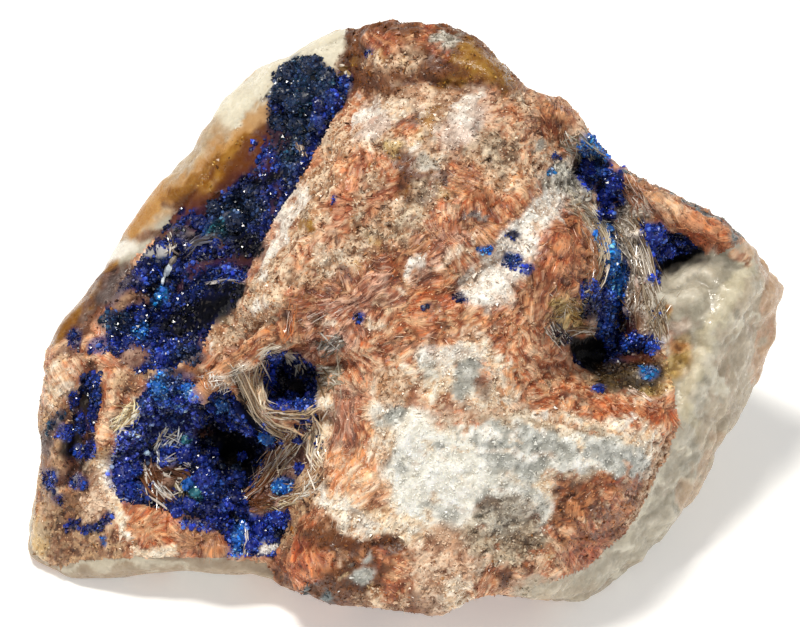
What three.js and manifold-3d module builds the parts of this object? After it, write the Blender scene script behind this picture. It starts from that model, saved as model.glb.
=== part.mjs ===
// A hand-size azurite specimen: ochre fibrous matrix on a quartz mass, with azurite crusts in its hollows.
// Millimetres, +Z up, resting on the flat cut under the quartz and the matrix.
import * as THREE from "three";
import { mergeVertices } from "three/addons/utils/BufferGeometryUtils.js";
import Module from "manifold-3d";

const wasm = await Module();
wasm.setup();

// The rock is described in a face frame: x runs right, v runs up the leaning face and n stands out of it.
const FACE_LEAN = 45;
const REST_HEIGHT = -23.2;
const SKIN_DETAIL = 11;
const FRONT_SHARE = 0.34;
const RIM_RADIUS = 2.2;
const GAP = 0.3;
const BED_DEPTH = -10.2;
const BED_CELL = 9;
const CRUST_THICKNESS = 1.3;
const CRUST_CELL = 1.9;
const SOCKET_CELL = 3.2;
const FAR = 80;

// Silhouette of the specimen in the face frame, clockwise from the top left, one list to a side.
const OUTLINE = {
  top: [
    [-6.0, 27.0], [-3.2, 27.0], [-1.1, 27.4], [2.4, 27.4], [4.8, 27.1], [6.2, 26.2], [7.1, 24.8], [9.5, 23.2],
    [10.3, 21.9], [12.1, 20.9], [13.7, 20.8], [14.8, 20.1],
  ],
  ridge: [
    [16.3, 17.8], [17.9, 15.6], [21.4, 13.1], [25.2, 11.2], [28.7, 9.4], [30.8, 7.9], [32.2, 6.8], [32.9, 5.3],
    [34.6, 4.0], [35.1, 3.0],
  ],
  rightFlank: [
    [34.9, 2.1], [33.9, -0.6], [33.1, -4.2], [32.5, -6.1], [31.0, -8.2], [29.2, -11.0], [28.0, -13.8],
    [27.0, -15.7], [24.2, -18.8], [21.9, -22.0], [19.5, -23.6], [17.9, -24.8],
  ],
  foot: [
    [16.9, -26.0], [14.4, -26.0], [11.1, -25.3], [7.8, -24.9], [5.7, -25.8], [4.0, -27.0], [1.2, -27.4],
    [-0.6, -26.6], [-5.5, -26.2], [-7.4, -26.0], [-9.0, -24.8], [-11.4, -25.2], [-11.9, -23.6], [-12.6, -23.0],
    [-16.8, -23.3], [-20.5, -22.7], [-24.3, -23.2], [-30.6, -23.6], [-33.2, -23.2],
  ],
  leftRim: [
    [-34.4, -22.5], [-35.1, -21.5], [-34.6, -18.0], [-33.7, -14.1], [-33.8, -11.5], [-33.5, -7.3],
    [-33.9, -4.4], [-33.2, -2.3], [-31.8, -0.2], [-29.7, 2.1], [-27.8, 4.2], [-27.6, 5.2],
  ],
  farWall: [
    [-24.7, 10.0], [-22.4, 13.1], [-19.6, 15.9], [-17.5, 19.0], [-15.4, 21.8], [-13.5, 23.5], [-10.2, 24.5],
    [-7.4, 26.7],
  ],
};

// Large forms of the face: inside its edge each one lifts or sinks the surface over the inset distances given.
const HUMP = [
  [-4.6, 30], [-5.3, 20.8], [-8.0, 16.7], [-9.8, 13.0], [-12.1, 9.3], [-14.9, 4.7], [-16.6, 0.8], [-14.5, -1.6],
  [-9.8, -2.7], [-7.4, -4.5], [-7.2, -10.0], [-8.6, -14.6], [-10.9, -19.6], [-12.2, -23.4], [-12.4, -30],
  [12.0, -30], [17.8, -22.0], [21.4, -18.3], [23.6, -13.7], [25.2, -9.4], [22.4, -6.6], [17.0, -6.2],
  [14.6, -4.4], [15.2, -1.8], [17.2, -0.8], [17.7, 4.7], [17.0, 9.2], [14.2, 12.4], [14.6, 16.4], [12.6, 21.4],
  [10, 30],
];
const FAR_SLOPE = [
  [-4, 32], [-5.3, 21.0], [-8.8, 14.4], [-12.1, 9.1], [-15.2, 4.0], [-18.2, -1.2], [-24.0, -3.2], [-34, -3],
  [-44, 0], [-44, 32],
];
const VALLEY = [
  [-6.9, 24.6], [-5.8, 20.6], [-8.6, 15.2], [-10.2, 12.4], [-12.3, 9.1], [-15.0, 4.5], [-17.4, 0.6],
  [-19.0, -2.6], [-21.4, -4.0], [-24.6, -4.6], [-27.4, -2.6], [-27.4, 1.6], [-24.4, 5.6], [-21.8, 9.0],
  [-18.6, 12.6], [-14.6, 18.6], [-12.4, 21.8], [-10.8, 23.4],
];
const VUG = [
  [-22.9, -4.9], [-19.4, -5.6], [-16.4, -6.0], [-14.6, -8.4], [-11.6, -9.2], [-8.4, -8.6], [-7.6, -11.0],
  [-8.9, -14.6], [-10.9, -18.3], [-12.1, -21.3], [-15.6, -21.3], [-17.9, -18.1], [-23.4, -16.9], [-26.2, -16.5],
  [-26.9, -13.3], [-26.4, -10.6], [-25.0, -8.0],
];
const VUG_HOLE = [
  [-20.0, -10.0], [-17.7, -8.9], [-14.9, -9.4], [-13.1, -11.9], [-14.0, -14.4], [-16.7, -13.9], [-19.0, -12.5],
];
const POCKET = [
  [-13.3, -4.4], [-11.7, -3.5], [-9.8, -3.9], [-8.2, -4.7], [-8.4, -7.0], [-10.0, -7.7], [-12.8, -7.7],
  [-13.6, -6.4],
];
const CLEFT = [
  [15.3, 15.6], [17.8, 15.0], [20.0, 12.8], [20.6, 8.8], [20.2, 6.4], [20.8, 2.8], [21.4, -1.4], [22.8, -3.6],
  [18.6, -4.8], [15.2, -3.8], [15.2, -2.4], [17.4, -1.4], [17.9, 1.2], [18.0, 5.0], [17.4, 8.6], [16.0, 11.2],
  [14.9, 13.2],
];
const CLEFT_HOLE = [
  [17.6, 10.6], [19.6, 10.2], [20.0, 6.8], [19.8, 3.4], [20.4, -1.2], [19.0, -4.2], [16.0, -3.4], [17.8, -1.8],
  [18.4, 1.0], [18.4, 5.4], [17.8, 8.4],
];
const NOTCH = [
  [22.6, 8.6], [25.4, 8.0], [27.4, 6.4], [27.9, 5.6], [26.0, 4.2], [23.7, 2.6], [22.7, 3.0], [22.5, 6.0],
];
const GROOVE = [
  [-29.6, -4.9], [-28.2, -4.6], [-28.3, -7.6], [-28.9, -10.9], [-29.9, -13.9], [-31.2, -12.3], [-30.8, -9.1],
  [-30.1, -6.8],
];
const LOWER_FACET = [
  [33.4, 5.2], [29.2, 0.1], [28.5, -1.1], [27.6, -4.9], [25.9, -9.4], [23.8, -13.7], [21.4, -18.3],
  [17.8, -22.2], [12.2, -25.2], [12, -36], [44, -36], [44, 6],
];
const LENS = [
  [2.1, -2.7], [5.8, -2.2], [8.6, -8.6], [14.1, -9.6], [20.4, -11.4], [20.0, -14.6], [14.1, -15.5],
  [12.2, -18.3], [6.7, -21.4], [3.0, -19.9], [-1.1, -16.5], [-0.6, -10.9],
];

// Where the quartz comes to the surface: the block and flank at the right, the far wall and the lower strip.
const QUARTZ_BLOCK = [
  [50, 7.4], [32.4, 7.2], [30.6, 7.0], [28.4, 5.9], [25.6, 5.2], [23.6, 4.6], [22.8, 3.0], [23.5, 1.4],
  [23.7, -1.7], [24.7, -5.5], [25.3, -9.4], [24.0, -12.4], [22.4, -15.6], [20.4, -19.4], [16.6, -22.8],
  [11.8, -24.4], [8, -40], [50, -40],
];
const QUARTZ_WALL = [
  [-4.8, 40], [-5.6, 26.4], [-8.0, 25.2], [-11.0, 24.0], [-13.2, 21.6], [-15.6, 18.2], [-19.4, 12.6],
  [-22.6, 8.8], [-25.4, 5.6], [-28.0, 2.2], [-30.8, -1.0], [-34.0, -3.0], [-50, -4], [-50, 40],
];
const QUARTZ_STRIP = [
  [-50, -23.2], [-33.0, -22.8], [-30.0, -22.2], [-25.0, -21.9], [-19.0, -21.7], [-14.0, -22.1], [-12.5, -22.5],
  [-12.0, -40], [-50, -40],
];
const LARGE_FORMS = [
  { edge: HUMP, lift: 6.6, inset: [-0.6, 3.6] },
  { edge: FAR_SLOPE, lift: -4.5, inset: [-1, 11] },
  { edge: VALLEY, lift: -2.4, inset: [-0.4, 3.2] },
  { edge: VUG, lift: -4.6, inset: [-0.3, 3.6] },
  { edge: VUG_HOLE, lift: -4.0, inset: [-0.6, 1.8] },
  { edge: POCKET, lift: -3.6, inset: [-0.3, 1.3] },
  { edge: CLEFT, lift: -4.4, inset: [-0.5, 1.8] },
  { edge: CLEFT_HOLE, lift: -2.2, inset: [-0.4, 1.0] },
  { edge: NOTCH, lift: -4.4, inset: [-0.4, 1.7] },
  { edge: GROOVE, lift: -2.4, inset: [-0.6, 0.9] },
  { edge: LOWER_FACET, lift: -9.0, inset: [-0.4, 9.0] },
];

// Rounded mounds: place, half widths along and across, turn in degrees and height.
const MOUNDS = [
  { name: "fibrous dome", at: [14.3, 4.9], size: [3.6, 5.6], turn: 10, lift: 2.2 },
  { name: "crown of the hump", at: [3.0, 3.0], size: [9, 11], turn: -15, lift: 2.6 },
  { name: "lower brow", at: [8.0, -12.5], size: [12, 5], turn: -12, lift: 2.4 },
  { name: "sheen knob", at: [6.0, 17.4], size: [3.4, 3.0], turn: 20, lift: 1.6 },
  { name: "amber lump", at: [7.0, 23.4], size: [3.0, 1.8], turn: -20, lift: 1.6 },
  { name: "shelf under the crown", at: [-3.5, 7.0], size: [4.5, 3.0], turn: 30, lift: -1.4 },
  { name: "valley cluster", at: [-8.9, 21.4], size: [2.6, 3.0], turn: 0, lift: 3.4 },
  { name: "valley shoulder", at: [-12.6, 14.5], size: [2.6, 3.6], turn: -35, lift: 1.8 },
  { name: "valley step", at: [-18.6, 6.4], size: [3.0, 2.2], turn: 40, lift: 1.6 },
  { name: "beige mound", at: [-23.4, -3.6], size: [2.4, 1.7], turn: 10, lift: 2.0 },
  { name: "orange dome", at: [-23.8, -19.4], size: [2.7, 2.2], turn: 0, lift: 2.6 },
  { name: "orange shelf", at: [-18.6, -21.0], size: [2.8, 1.4], turn: -5, lift: 1.6 },
  { name: "ball nest", at: [-18.4, -15.4], size: [2.2, 1.6], turn: 0, lift: 2.4 },
  { name: "foot swell", at: [3.5, -23.5], size: [4.5, 2.6], turn: 0, lift: 1.8 },
  { name: "rust swell", at: [-8.5, -22.5], size: [2.6, 2.4], turn: 0, lift: 1.4 },
  { name: "quartz top facet", at: [27.0, 1.6], size: [3.0, 3.4], turn: 0, lift: 1.8 },
  { name: "sugary knob", at: [14.6, 12.6], size: [2.6, 2.2], turn: 0, lift: 1.5 },
];

// Long narrow forms along a line of points: half width and height, negative for a furrow.
const RIDGES = [
  { name: "right ridge", line: [[13.0, 20.0], [18.4, 15.6], [22.6, 11.4], [27.4, 8.9], [30.6, 7.4]], half: 1.4,
    lift: 4.0 },
  { name: "fibrous band in the cleft", line: [[21.6, 9.6], [21.8, 5.0], [22.3, 1.4], [22.6, -1.6]], half: 0.8,
    lift: 1.6 },
  { name: "quartz crest", line: [[32.0, 3.8], [29.2, 0], [28.3, -1.4], [27.4, -4.9], [25.7, -9.4]], half: 1.1,
    lift: 1.8 },
  { name: "rim ridge", line: [[-27.4, -4.6], [-27.8, -8.0], [-28.0, -10.6]], half: 1.1, lift: 1.8 },
  { name: "outer rim", line: [[-32.2, -3.6], [-32.6, -7.6], [-32.2, -12.0], [-32.8, -17.6]], half: 1.2, lift: 1.6 },
  { name: "pocket rail", line: [[-13.9, -4.2], [-14.2, -6.4], [-13.2, -8.4], [-9.8, -8.6], [-7.6, -7.6]], half: 0.7,
    lift: 2.4 },
  { name: "ledge over the cleft foot", line: [[14.0, -1.6], [16.6, -6.0], [21.6, -6.6], [24.8, -8.2]], half: 0.9,
    lift: 1.6 },
  { name: "white seam", line: [[13.6, 11.4], [10.0, 6.6], [5.4, 3.4], [0.4, 1.2]], half: 1.0, lift: -1.2 },
  { name: "red fan edge", line: [[-1.6, -2.4], [-5.6, -4.2], [-9.4, -3.2]], half: 0.8, lift: -1.3 },
  { name: "top notch", line: [[-4.6, 20.4], [1.4, 21.4], [6.4, 20.8], [10.4, 20.4]], half: 1.0, lift: -1.5 },
  { name: "foot notch", line: [[-12.0, -20.0], [-12.3, -22.4], [-12.4, -24.6]], half: 0.9, lift: -2.2 },
];

// The spur: a thin ledge standing out over the lower-left hollow, with a comb of blades under it.
const SPUR = [
  { at: [-8.6, 0.2, 5.4], radius: 2.0 },
  { at: [-13.0, -2.0, 3.9], radius: 1.35 },
  { at: [-16.4, -4.2, 2.2], radius: 0.95 },
  { at: [-19.8, -7.4, 0.6], radius: 0.3 },
];
const COMB_BLADES = 6;
const COMB_LENGTH = 2.6;

// Fans of pale blades that stand on the matrix at the rims of the hollows.
const FANS = [
  { name: "pocket rail fan", root: [-13.6, -8.0, 0], reach: 5.6, turns: [-32, -16, -2], rise: 0.5 },
  { name: "pocket post fan", root: [-14.0, -3.6, 0], reach: 4.4, turns: [-104, -92, -80], rise: 0.5 },
  { name: "vug rim fan", root: [-26.9, -11.6, 0], reach: 3.6, turns: [20, 38, 56], rise: 0.5 },
  { name: "lower right fan", root: [-10.6, -17.4, 0], reach: 5.2, turns: [40, 56, 72], rise: 0.7 },
];
const BLADE_RADIUS = 0.36;

// Broken faces that bound the back of the rock: outward direction in the world frame and distance.
const BACK_FACES = [
  { towards: [0.06, 1, 0.12], distance: 27.6 },
  { towards: [-0.55, 0.84, 0.1], distance: 27.4 },
  { towards: [-0.9, 0.5, 0.1], distance: 30.5 },
  { towards: [0.62, 0.8, 0.05], distance: 31.0 },
  { towards: [0.92, 0.42, -0.25], distance: 35.0 },
  { towards: [-0.62, 0.2, -0.76], distance: 39.0 },
  { towards: [0.74, -0.1, -0.66], distance: 33.0 },
  { towards: [0.3, 0.7, 0.64], distance: 26.0 },
  { towards: [-0.2, 0.75, -0.63], distance: 33.0 },
];

const lean = THREE.MathUtils.degToRad(FACE_LEAN);
const faceRight = new THREE.Vector3(1, 0, 0);
const faceUp = new THREE.Vector3(0, Math.sin(lean), Math.cos(lean));
const faceOut = new THREE.Vector3(0, -Math.cos(lean), Math.sin(lean));
const faceToWorld = new THREE.Matrix4().makeBasis(faceRight, faceUp, faceOut);

function seededRandom(seed) {
  let state = seed;
  return () => {
    state = (state * 1664525 + 1013904223) % 4294967296;
    return state / 4294967296;
  };
}

function smoothStep(from, to, value) {
  const t = THREE.MathUtils.clamp((value - from) / (to - from), 0, 1);
  return t * t * (3 - 2 * t);
}

function ripple(x, y, z, size) {
  const [a, b, c] = [x / size, y / size, z / size];
  const first = Math.sin(a + 1.3 * Math.sin(b * 1.1 + 0.7));
  const second = Math.sin(b * 1.2 + 1.1 * Math.sin(c + a * 0.6));
  const third = Math.sin(c * 0.9 + 1.2 * Math.sin(a * 0.8 + 2.0));
  return (first + second + third) / 3;
}

function segmentDistance(x, v, [ax, av], [bx, bv]) {
  const along = ((x - ax) * (bx - ax) + (v - av) * (bv - av)) / ((bx - ax) ** 2 + (bv - av) ** 2);
  const t = THREE.MathUtils.clamp(along, 0, 1);
  return Math.hypot(x - ax - t * (bx - ax), v - av - t * (bv - av));
}

// Distance from a point to an outline, positive inside it.
function insetDistance(edge, x, v) {
  let nearest = Infinity;
  let inside = false;
  for (let i = 0, j = edge.length - 1; i < edge.length; j = i++) {
    nearest = Math.min(nearest, segmentDistance(x, v, edge[j], edge[i]));
    const crosses = edge[i][1] > v !== edge[j][1] > v;
    const span = (edge[j][0] - edge[i][0]) * (v - edge[i][1]) / (edge[j][1] - edge[i][1]);
    if (crosses && x < edge[i][0] + span) inside = !inside;
  }
  return inside ? nearest : -nearest;
}

function lineDistance(line, x, v) {
  let nearest = Infinity;
  for (let i = 1; i < line.length; i++) {
    nearest = Math.min(nearest, segmentDistance(x, v, line[i - 1], line[i]));
  }
  return nearest;
}

// The height n at which the resting plane crosses the face frame at v.
function restLevel(v) {
  return (REST_HEIGHT - v * faceUp.z) / faceOut.z;
}

function faceRelief(x, v) {
  let n = 1.0 - 0.0058 * x * x - 0.0085 * Math.max(v, 0) ** 2 - 0.004 * Math.min(v, 0) ** 2;
  for (const form of LARGE_FORMS) {
    n += form.lift * smoothStep(form.inset[0], form.inset[1], insetDistance(form.edge, x, v));
  }
  for (const mound of MOUNDS) {
    const turn = THREE.MathUtils.degToRad(mound.turn);
    const [dx, dv] = [x - mound.at[0], v - mound.at[1]];
    const along = (dx * Math.cos(turn) + dv * Math.sin(turn)) / mound.size[0];
    const across = (dv * Math.cos(turn) - dx * Math.sin(turn)) / mound.size[1];
    n += mound.lift * Math.exp(-(along ** 2 + across ** 2));
  }
  for (const ridge of RIDGES) {
    n += ridge.lift * Math.exp(-((lineDistance(ridge.line, x, v) / ridge.half) ** 2));
  }
  n += 0.45 * ripple(x, v, 0, 1.15) + 0.35 * ripple(v, x, 3, 0.62);
  return Math.max(n, restLevel(v) + RIM_RADIUS + 1.0);
}

// How deep the back of the rock lies behind the face: the nearest of its broken faces, softly blended.
function backLevel(x, v) {
  const sharpness = 0.8;
  let total = 0;
  for (const face of BACK_FACES) {
    const normal = new THREE.Vector3(...face.towards).normalize();
    const level = (face.distance - normal.x * x - normal.dot(faceUp) * v) / normal.dot(faceOut);
    total += Math.exp(sharpness * (level + FAR));
  }
  return Math.log(total) / sharpness - FAR + 1.1 * ripple(x, v, 5, 2.6) + 0.5 * ripple(v, x, 1, 1.3);
}

const outlinePoints = Object.values(OUTLINE).flat();
const outlineTurns = outlinePoints
  .map(([x, v]) => ({ turn: Math.atan2(v, x), reach: Math.hypot(x, v) }))
  .sort((a, b) => a.turn - b.turn);

// Distance from the middle of the face to its silhouette in one direction.
function outlineReach(turn) {
  const last = outlineTurns.length - 1;
  let after = outlineTurns.findIndex((point) => point.turn > turn);
  if (after < 0) after = 0;
  const before = after === 0 ? last : after - 1;
  const full = 2 * Math.PI;
  const step = (outlineTurns[after].turn - outlineTurns[before].turn + full) % full;
  const t = ((turn - outlineTurns[before].turn + full) % full) / step;
  return THREE.MathUtils.lerp(outlineTurns[before].reach, outlineTurns[after].reach, t);
}

function toSolid(geometry) {
  geometry.deleteAttribute("normal");
  geometry.deleteAttribute("uv");
  const merged = mergeVertices(geometry, 1e-4);
  return new wasm.Manifold(new wasm.Mesh({
    numProp: 3,
    vertProperties: new Float32Array(merged.attributes.position.array),
    triVerts: new Uint32Array(merged.index.array),
  }));
}

// The surface of a solid without the crumbs that a cut leaves loose beside its main body.
function toGeometry(solid) {
  const mesh = solid.getMesh();
  const corners = mesh.triVerts;
  const owner = Array.from({ length: mesh.vertProperties.length / 3 }, (_, i) => i);
  const bodyOf = (corner) => {
    while (owner[corner] !== corner) corner = owner[corner];
    return corner;
  };
  for (let i = 0; i < corners.length; i++) {
    const [here, first] = [bodyOf(corners[i]), bodyOf(corners[i - (i % 3)])];
    owner[Math.max(here, first)] = Math.min(here, first);
  }
  const counts = new Map();
  for (const corner of corners) counts.set(bodyOf(corner), (counts.get(bodyOf(corner)) ?? 0) + 1);
  const [mainBody] = [...counts].sort((a, b) => b[1] - a[1])[0];
  const geometry = new THREE.BufferGeometry();
  geometry.setAttribute("position", new THREE.BufferAttribute(new Float32Array(mesh.vertProperties), 3));
  geometry.setIndex([...corners].filter((corner) => bodyOf(corner) === mainBody));
  return geometry.toNonIndexed();
}

// The whole lump as one skin: a sphere whose near half takes the relief and whose far half takes the back.
function wholeRock() {
  const geometry = new THREE.IcosahedronGeometry(1, SKIN_DETAIL);
  const place = geometry.attributes.position;
  for (let i = 0; i < place.count; i++) {
    const direction = new THREE.Vector3().fromBufferAttribute(place, i).normalize();
    const turn = Math.atan2(direction.y, direction.x);
    const out = (direction.z + FRONT_SHARE) / (1 + FRONT_SHARE * direction.z);
    const reach = outlineReach(turn);
    const rim = [reach * Math.cos(turn), reach * Math.sin(turn)];
    const rimLevel = faceRelief(...rim) - RIM_RADIUS;
    let share = out >= 0 ? Math.sqrt(1 - Math.min(out, 1) ** 1.4) : Math.sqrt(1 - out * out);
    let [x, v] = [rim[0] * share, rim[1] * share];
    let n;
    if (out >= 0) {
      const inset = Math.min((1 - share) * reach, RIM_RADIUS);
      n = faceRelief(x, v) - RIM_RADIUS + Math.sqrt(RIM_RADIUS ** 2 - (RIM_RADIUS - inset) ** 2);
    } else {
      const depth = (1 - share ** 3.2) ** (1 / 3.2);
      n = THREE.MathUtils.lerp(rimLevel, Math.min(backLevel(x, v), rimLevel - 2), depth);
      const sink = smoothStep(0, 22, rimLevel - n);
      const broken = 1 + ripple(3 * Math.cos(turn), 3 * Math.sin(turn), n / 4, 0.7);
      const taper = 1 - (0.06 + 0.055 * broken) * sink;
      [x, v] = [x * taper, v * taper];
    }
    place.setXYZ(i, x, v, n);
  }
  return toSolid(geometry);
}

// A block under or between two height functions, gridded at the given cell size.
function slab([left, right, bottom, top], cell, lowLevel, highLevel) {
  const [width, height] = [right - left, top - bottom];
  const geometry = new THREE.BoxGeometry(width, height, 1, Math.ceil(width / cell), Math.ceil(height / cell), 1);
  const place = geometry.attributes.position;
  for (let i = 0; i < place.count; i++) {
    const x = place.getX(i) + (left + right) / 2;
    const v = place.getY(i) + (bottom + top) / 2;
    place.setXYZ(i, x, v, place.getZ(i) > 0 ? highLevel(x, v) : lowLevel(x, v));
  }
  return toSolid(geometry);
}

function grownEdge(edge, grow) {
  const middle = new THREE.Vector2();
  edge.forEach(([x, v]) => middle.add(new THREE.Vector2(x, v).divideScalar(edge.length)));
  const clockwise = THREE.ShapeUtils.area(edge.map(([x, v]) => new THREE.Vector2(x, v))) < 0;
  const side = clockwise ? 1 : -1;
  return edge.map(([x, v], i) => {
    const before = edge[(i + edge.length - 1) % edge.length];
    const after = edge[(i + 1) % edge.length];
    const along = new THREE.Vector2(after[0] - before[0], after[1] - before[1]).normalize();
    return [x - side * along.y * grow, v + side * along.x * grow];
  });
}

// A straight block with the given outline, long enough to pass through the rock along n.
function prism(edge, grow) {
  const shape = new THREE.Shape(grownEdge(edge, grow).map(([x, v]) => new THREE.Vector2(x, v)));
  const geometry = new THREE.ExtrudeGeometry(shape, { depth: 2 * FAR, bevelEnabled: false });
  geometry.translate(0, 0, -FAR);
  return toSolid(geometry);
}

function boundsOf(edge, margin) {
  const xs = edge.map(([x]) => x);
  const vs = edge.map(([, v]) => v);
  return [Math.min(...xs) - margin, Math.max(...xs) + margin, Math.min(...vs) - margin, Math.max(...vs) + margin];
}

// The bed on which the matrix lies: a gently waved sheet inside the rock, over the quartz.
function bedLevel(x, v) {
  return BED_DEPTH - 0.05 * v + 0.6 * ripple(x, v, 2, 5);
}

// A crystal with flat faces, standing on the surface at x, v with its root buried.
function crystal(x, v, level, size, random) {
  const geometry = new THREE.OctahedronGeometry(size, 0);
  geometry.scale(0.7 + 0.5 * random(), 0.7 + 0.5 * random(), 1.2 + 0.5 * random());
  geometry.rotateX((random() - 0.5) * 1.6);
  geometry.rotateY((random() - 0.5) * 1.6);
  geometry.rotateZ(random() * Math.PI);
  geometry.translate(x, v, level + 0.2 * size);
  return toSolid(geometry);
}

// A crystal crust lying in a hollow, and the socket that the rock leaves for it.
function crust({ edge, seed, crystals, size, knobs, thickness = CRUST_THICKNESS, cell = CRUST_CELL }) {
  const area = boundsOf(edge, 2);
  const top = (x, v) => faceRelief(x, v) + knobs * (0.4 + ripple(x, v, seed, 0.42));
  const under = (drop) => (x, v) => faceRelief(x, v) - thickness - drop;
  const underside = () => -FAR - 5;
  let body = slab(area, cell, underside, top);
  const random = seededRandom(seed);
  const [left, right, bottom, upper] = boundsOf(edge, 0);
  for (let made = 0; made < crystals;) {
    const [x, v] = [left + (right - left) * random(), bottom + (upper - bottom) * random()];
    if (insetDistance(edge, x, v) < size * 0.8) continue;
    body = body.add(crystal(x, v, top(x, v), size * (0.7 + 0.6 * random()), random));
    made += 1;
  }
  body = body.intersect(prism(edge, 0)).subtract(slab(area, SOCKET_CELL, underside, under(0)));
  return { body, socket: prism(edge, GAP).subtract(slab(area, SOCKET_CELL, underside, under(GAP))) };
}

// A tapered bar with flat sides between two points of the face frame.
function bar(from, to, fromRadius, toRadius, sides) {
  const start = new THREE.Vector3(...from);
  const run = new THREE.Vector3(...to).sub(start);
  const geometry = new THREE.CylinderGeometry(toRadius, fromRadius, run.length(), sides, 1);
  geometry.translate(0, run.length() / 2, 0);
  const aim = new THREE.Quaternion().setFromUnitVectors(new THREE.Vector3(0, 1, 0), run.clone().normalize());
  geometry.applyQuaternion(aim);
  geometry.translate(start.x, start.y, start.z);
  return toSolid(geometry);
}

// The spur, its comb and the fans, made larger all round by the gap that the crusts keep to them.
function standingBlades(gap) {
  let solid = null;
  for (let i = 1; i < SPUR.length; i++) {
    const [near, far] = [SPUR[i - 1], SPUR[i]];
    const part = bar(near.at, far.at, near.radius + gap, far.radius + gap, 7);
    solid = solid ? solid.add(part) : part;
  }
  const random = seededRandom(41);
  for (let i = 0; i < COMB_BLADES; i++) {
    const t = 0.12 + 0.8 * (i / (COMB_BLADES - 1));
    const line = new THREE.CatmullRomCurve3(SPUR.map((point) => new THREE.Vector3(...point.at)));
    const root = line.getPointAt(t);
    const length = COMB_LENGTH * (0.6 + 0.5 * random()) * (1.1 - 0.5 * t);
    const tip = [root.x + 0.9 * length * (random() - 0.3), root.y - 0.8 * length, root.z - 0.55 * length];
    solid = solid.add(bar(root.toArray(), tip, BLADE_RADIUS + gap, 0.4 * BLADE_RADIUS + gap, 4));
  }
  for (const fan of FANS) {
    const [x, v] = fan.root;
    const root = [x, v, faceRelief(x, v) - 1.0];
    for (const turn of fan.turns) {
      const way = THREE.MathUtils.degToRad(turn);
      const length = fan.reach * (0.75 + 0.4 * random());
      const end = [x + length * Math.cos(way), v + length * Math.sin(way)];
      const tip = [...end, Math.max(faceRelief(...end), root[2]) + fan.rise];
      solid = solid.add(bar(root, tip, 1.3 * BLADE_RADIUS + gap, 0.5 * BLADE_RADIUS + gap, 4));
    }
  }
  return solid;
}

// The space of the quartz, made larger all round by the gap that the matrix keeps to it.
function quartzRoom(gap) {
  const area = [-45, 45, -40, 40];
  let room = slab(area, BED_CELL, () => -FAR - 5, (x, v) => bedLevel(x, v) + gap);
  for (const side of [QUARTZ_BLOCK, QUARTZ_WALL, QUARTZ_STRIP]) room = room.add(prism(side, gap));
  return room;
}

const rock = wholeRock();
let quartz = rock.intersect(quartzRoom(0));
let matrix = rock.subtract(quartzRoom(GAP));

const CRUSTS = [
  { name: "azurite_crust_vug", edge: VUG, seed: 11, crystals: 16, size: 0.85, knobs: 0.55 },
  { name: "azurite_crust_valley", edge: VALLEY, seed: 23, crystals: 16, size: 0.9, knobs: 0.6 },
  { name: "azurite_crust_cleft", edge: CLEFT, seed: 37, crystals: 12, size: 0.7, knobs: 0.4 },
  { name: "azurite_crust_notch", edge: NOTCH, seed: 53, crystals: 6, size: 0.7, knobs: 0.4 },
  { name: "azurite_crust_pocket", edge: POCKET, seed: 5, crystals: 5, size: 0.55, knobs: 0.3, thickness: 0.9 },
  { name: "azurite_crust_groove", edge: GROOVE, seed: 7, crystals: 4, size: 0.5, knobs: 0.3, thickness: 0.9 },
];
const LENS_SPEC = { edge: LENS, seed: 3, crystals: 0, size: 1, knobs: 0.35, thickness: 2.2, cell: 2.8 };

const COLOURS = {
  matrix: { color: "#c07a58", roughness: 0.8, metalness: 0 },
  quartz: { color: "#cdc9bd", roughness: 0.35, metalness: 0 },
  lens: { color: "#e9e4d8", roughness: 0.45, metalness: 0 },
  azurite: { color: "#15289a", roughness: 0.4, metalness: 0 },
};

const pieces = [];
const spurRoom = standingBlades(GAP);
for (const spec of CRUSTS) {
  const { body, socket } = crust(spec);
  matrix = matrix.subtract(socket);
  quartz = quartz.subtract(socket);
  pieces.push({ name: spec.name, solid: body.subtract(spurRoom), look: COLOURS.azurite });
}
const lens = crust(LENS_SPEC);
matrix = matrix.subtract(lens.socket).add(standingBlades(0));
pieces.push({ name: "quartz_lens", solid: lens.body, look: COLOURS.lens });
pieces.unshift({ name: "quartz_mass", solid: quartz, look: COLOURS.quartz });
pieces.unshift({ name: "ochre_matrix", solid: matrix, look: COLOURS.matrix });

function restingCut() {
  const geometry = new THREE.BoxGeometry(4 * FAR, 4 * FAR, 2 * FAR);
  geometry.translate(0, 0, REST_HEIGHT - FAR);
  geometry.applyMatrix4(faceToWorld.clone().invert());
  return toSolid(geometry);
}

const cut = restingCut();
const specimen = new THREE.Group();
for (const piece of pieces) {
  const geometry = toGeometry(piece.solid.subtract(cut));
  geometry.applyMatrix4(faceToWorld);
  const mesh = new THREE.Mesh(geometry, new THREE.MeshStandardMaterial(piece.look));
  mesh.name = piece.name;
  specimen.add(mesh);
}

// The origin is the middle of the box of the whole specimen, on the plane it rests on.
const box = new THREE.Box3().setFromObject(specimen);
const middle = box.getCenter(new THREE.Vector3());
specimen.position.set(-middle.x, -middle.y, -box.min.z);

export default specimen;
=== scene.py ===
"""Looks of a hand-size azurite specimen: ochre rock on quartz, with azurite crusts in its hollows."""

import logging
import math
from dataclasses import dataclass
from enum import Enum

import bmesh
import bpy
import numpy as np
from mathutils import Matrix, Vector
from mathutils.bvhtree import BVHTree
from mathutils.kdtree import KDTree


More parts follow.
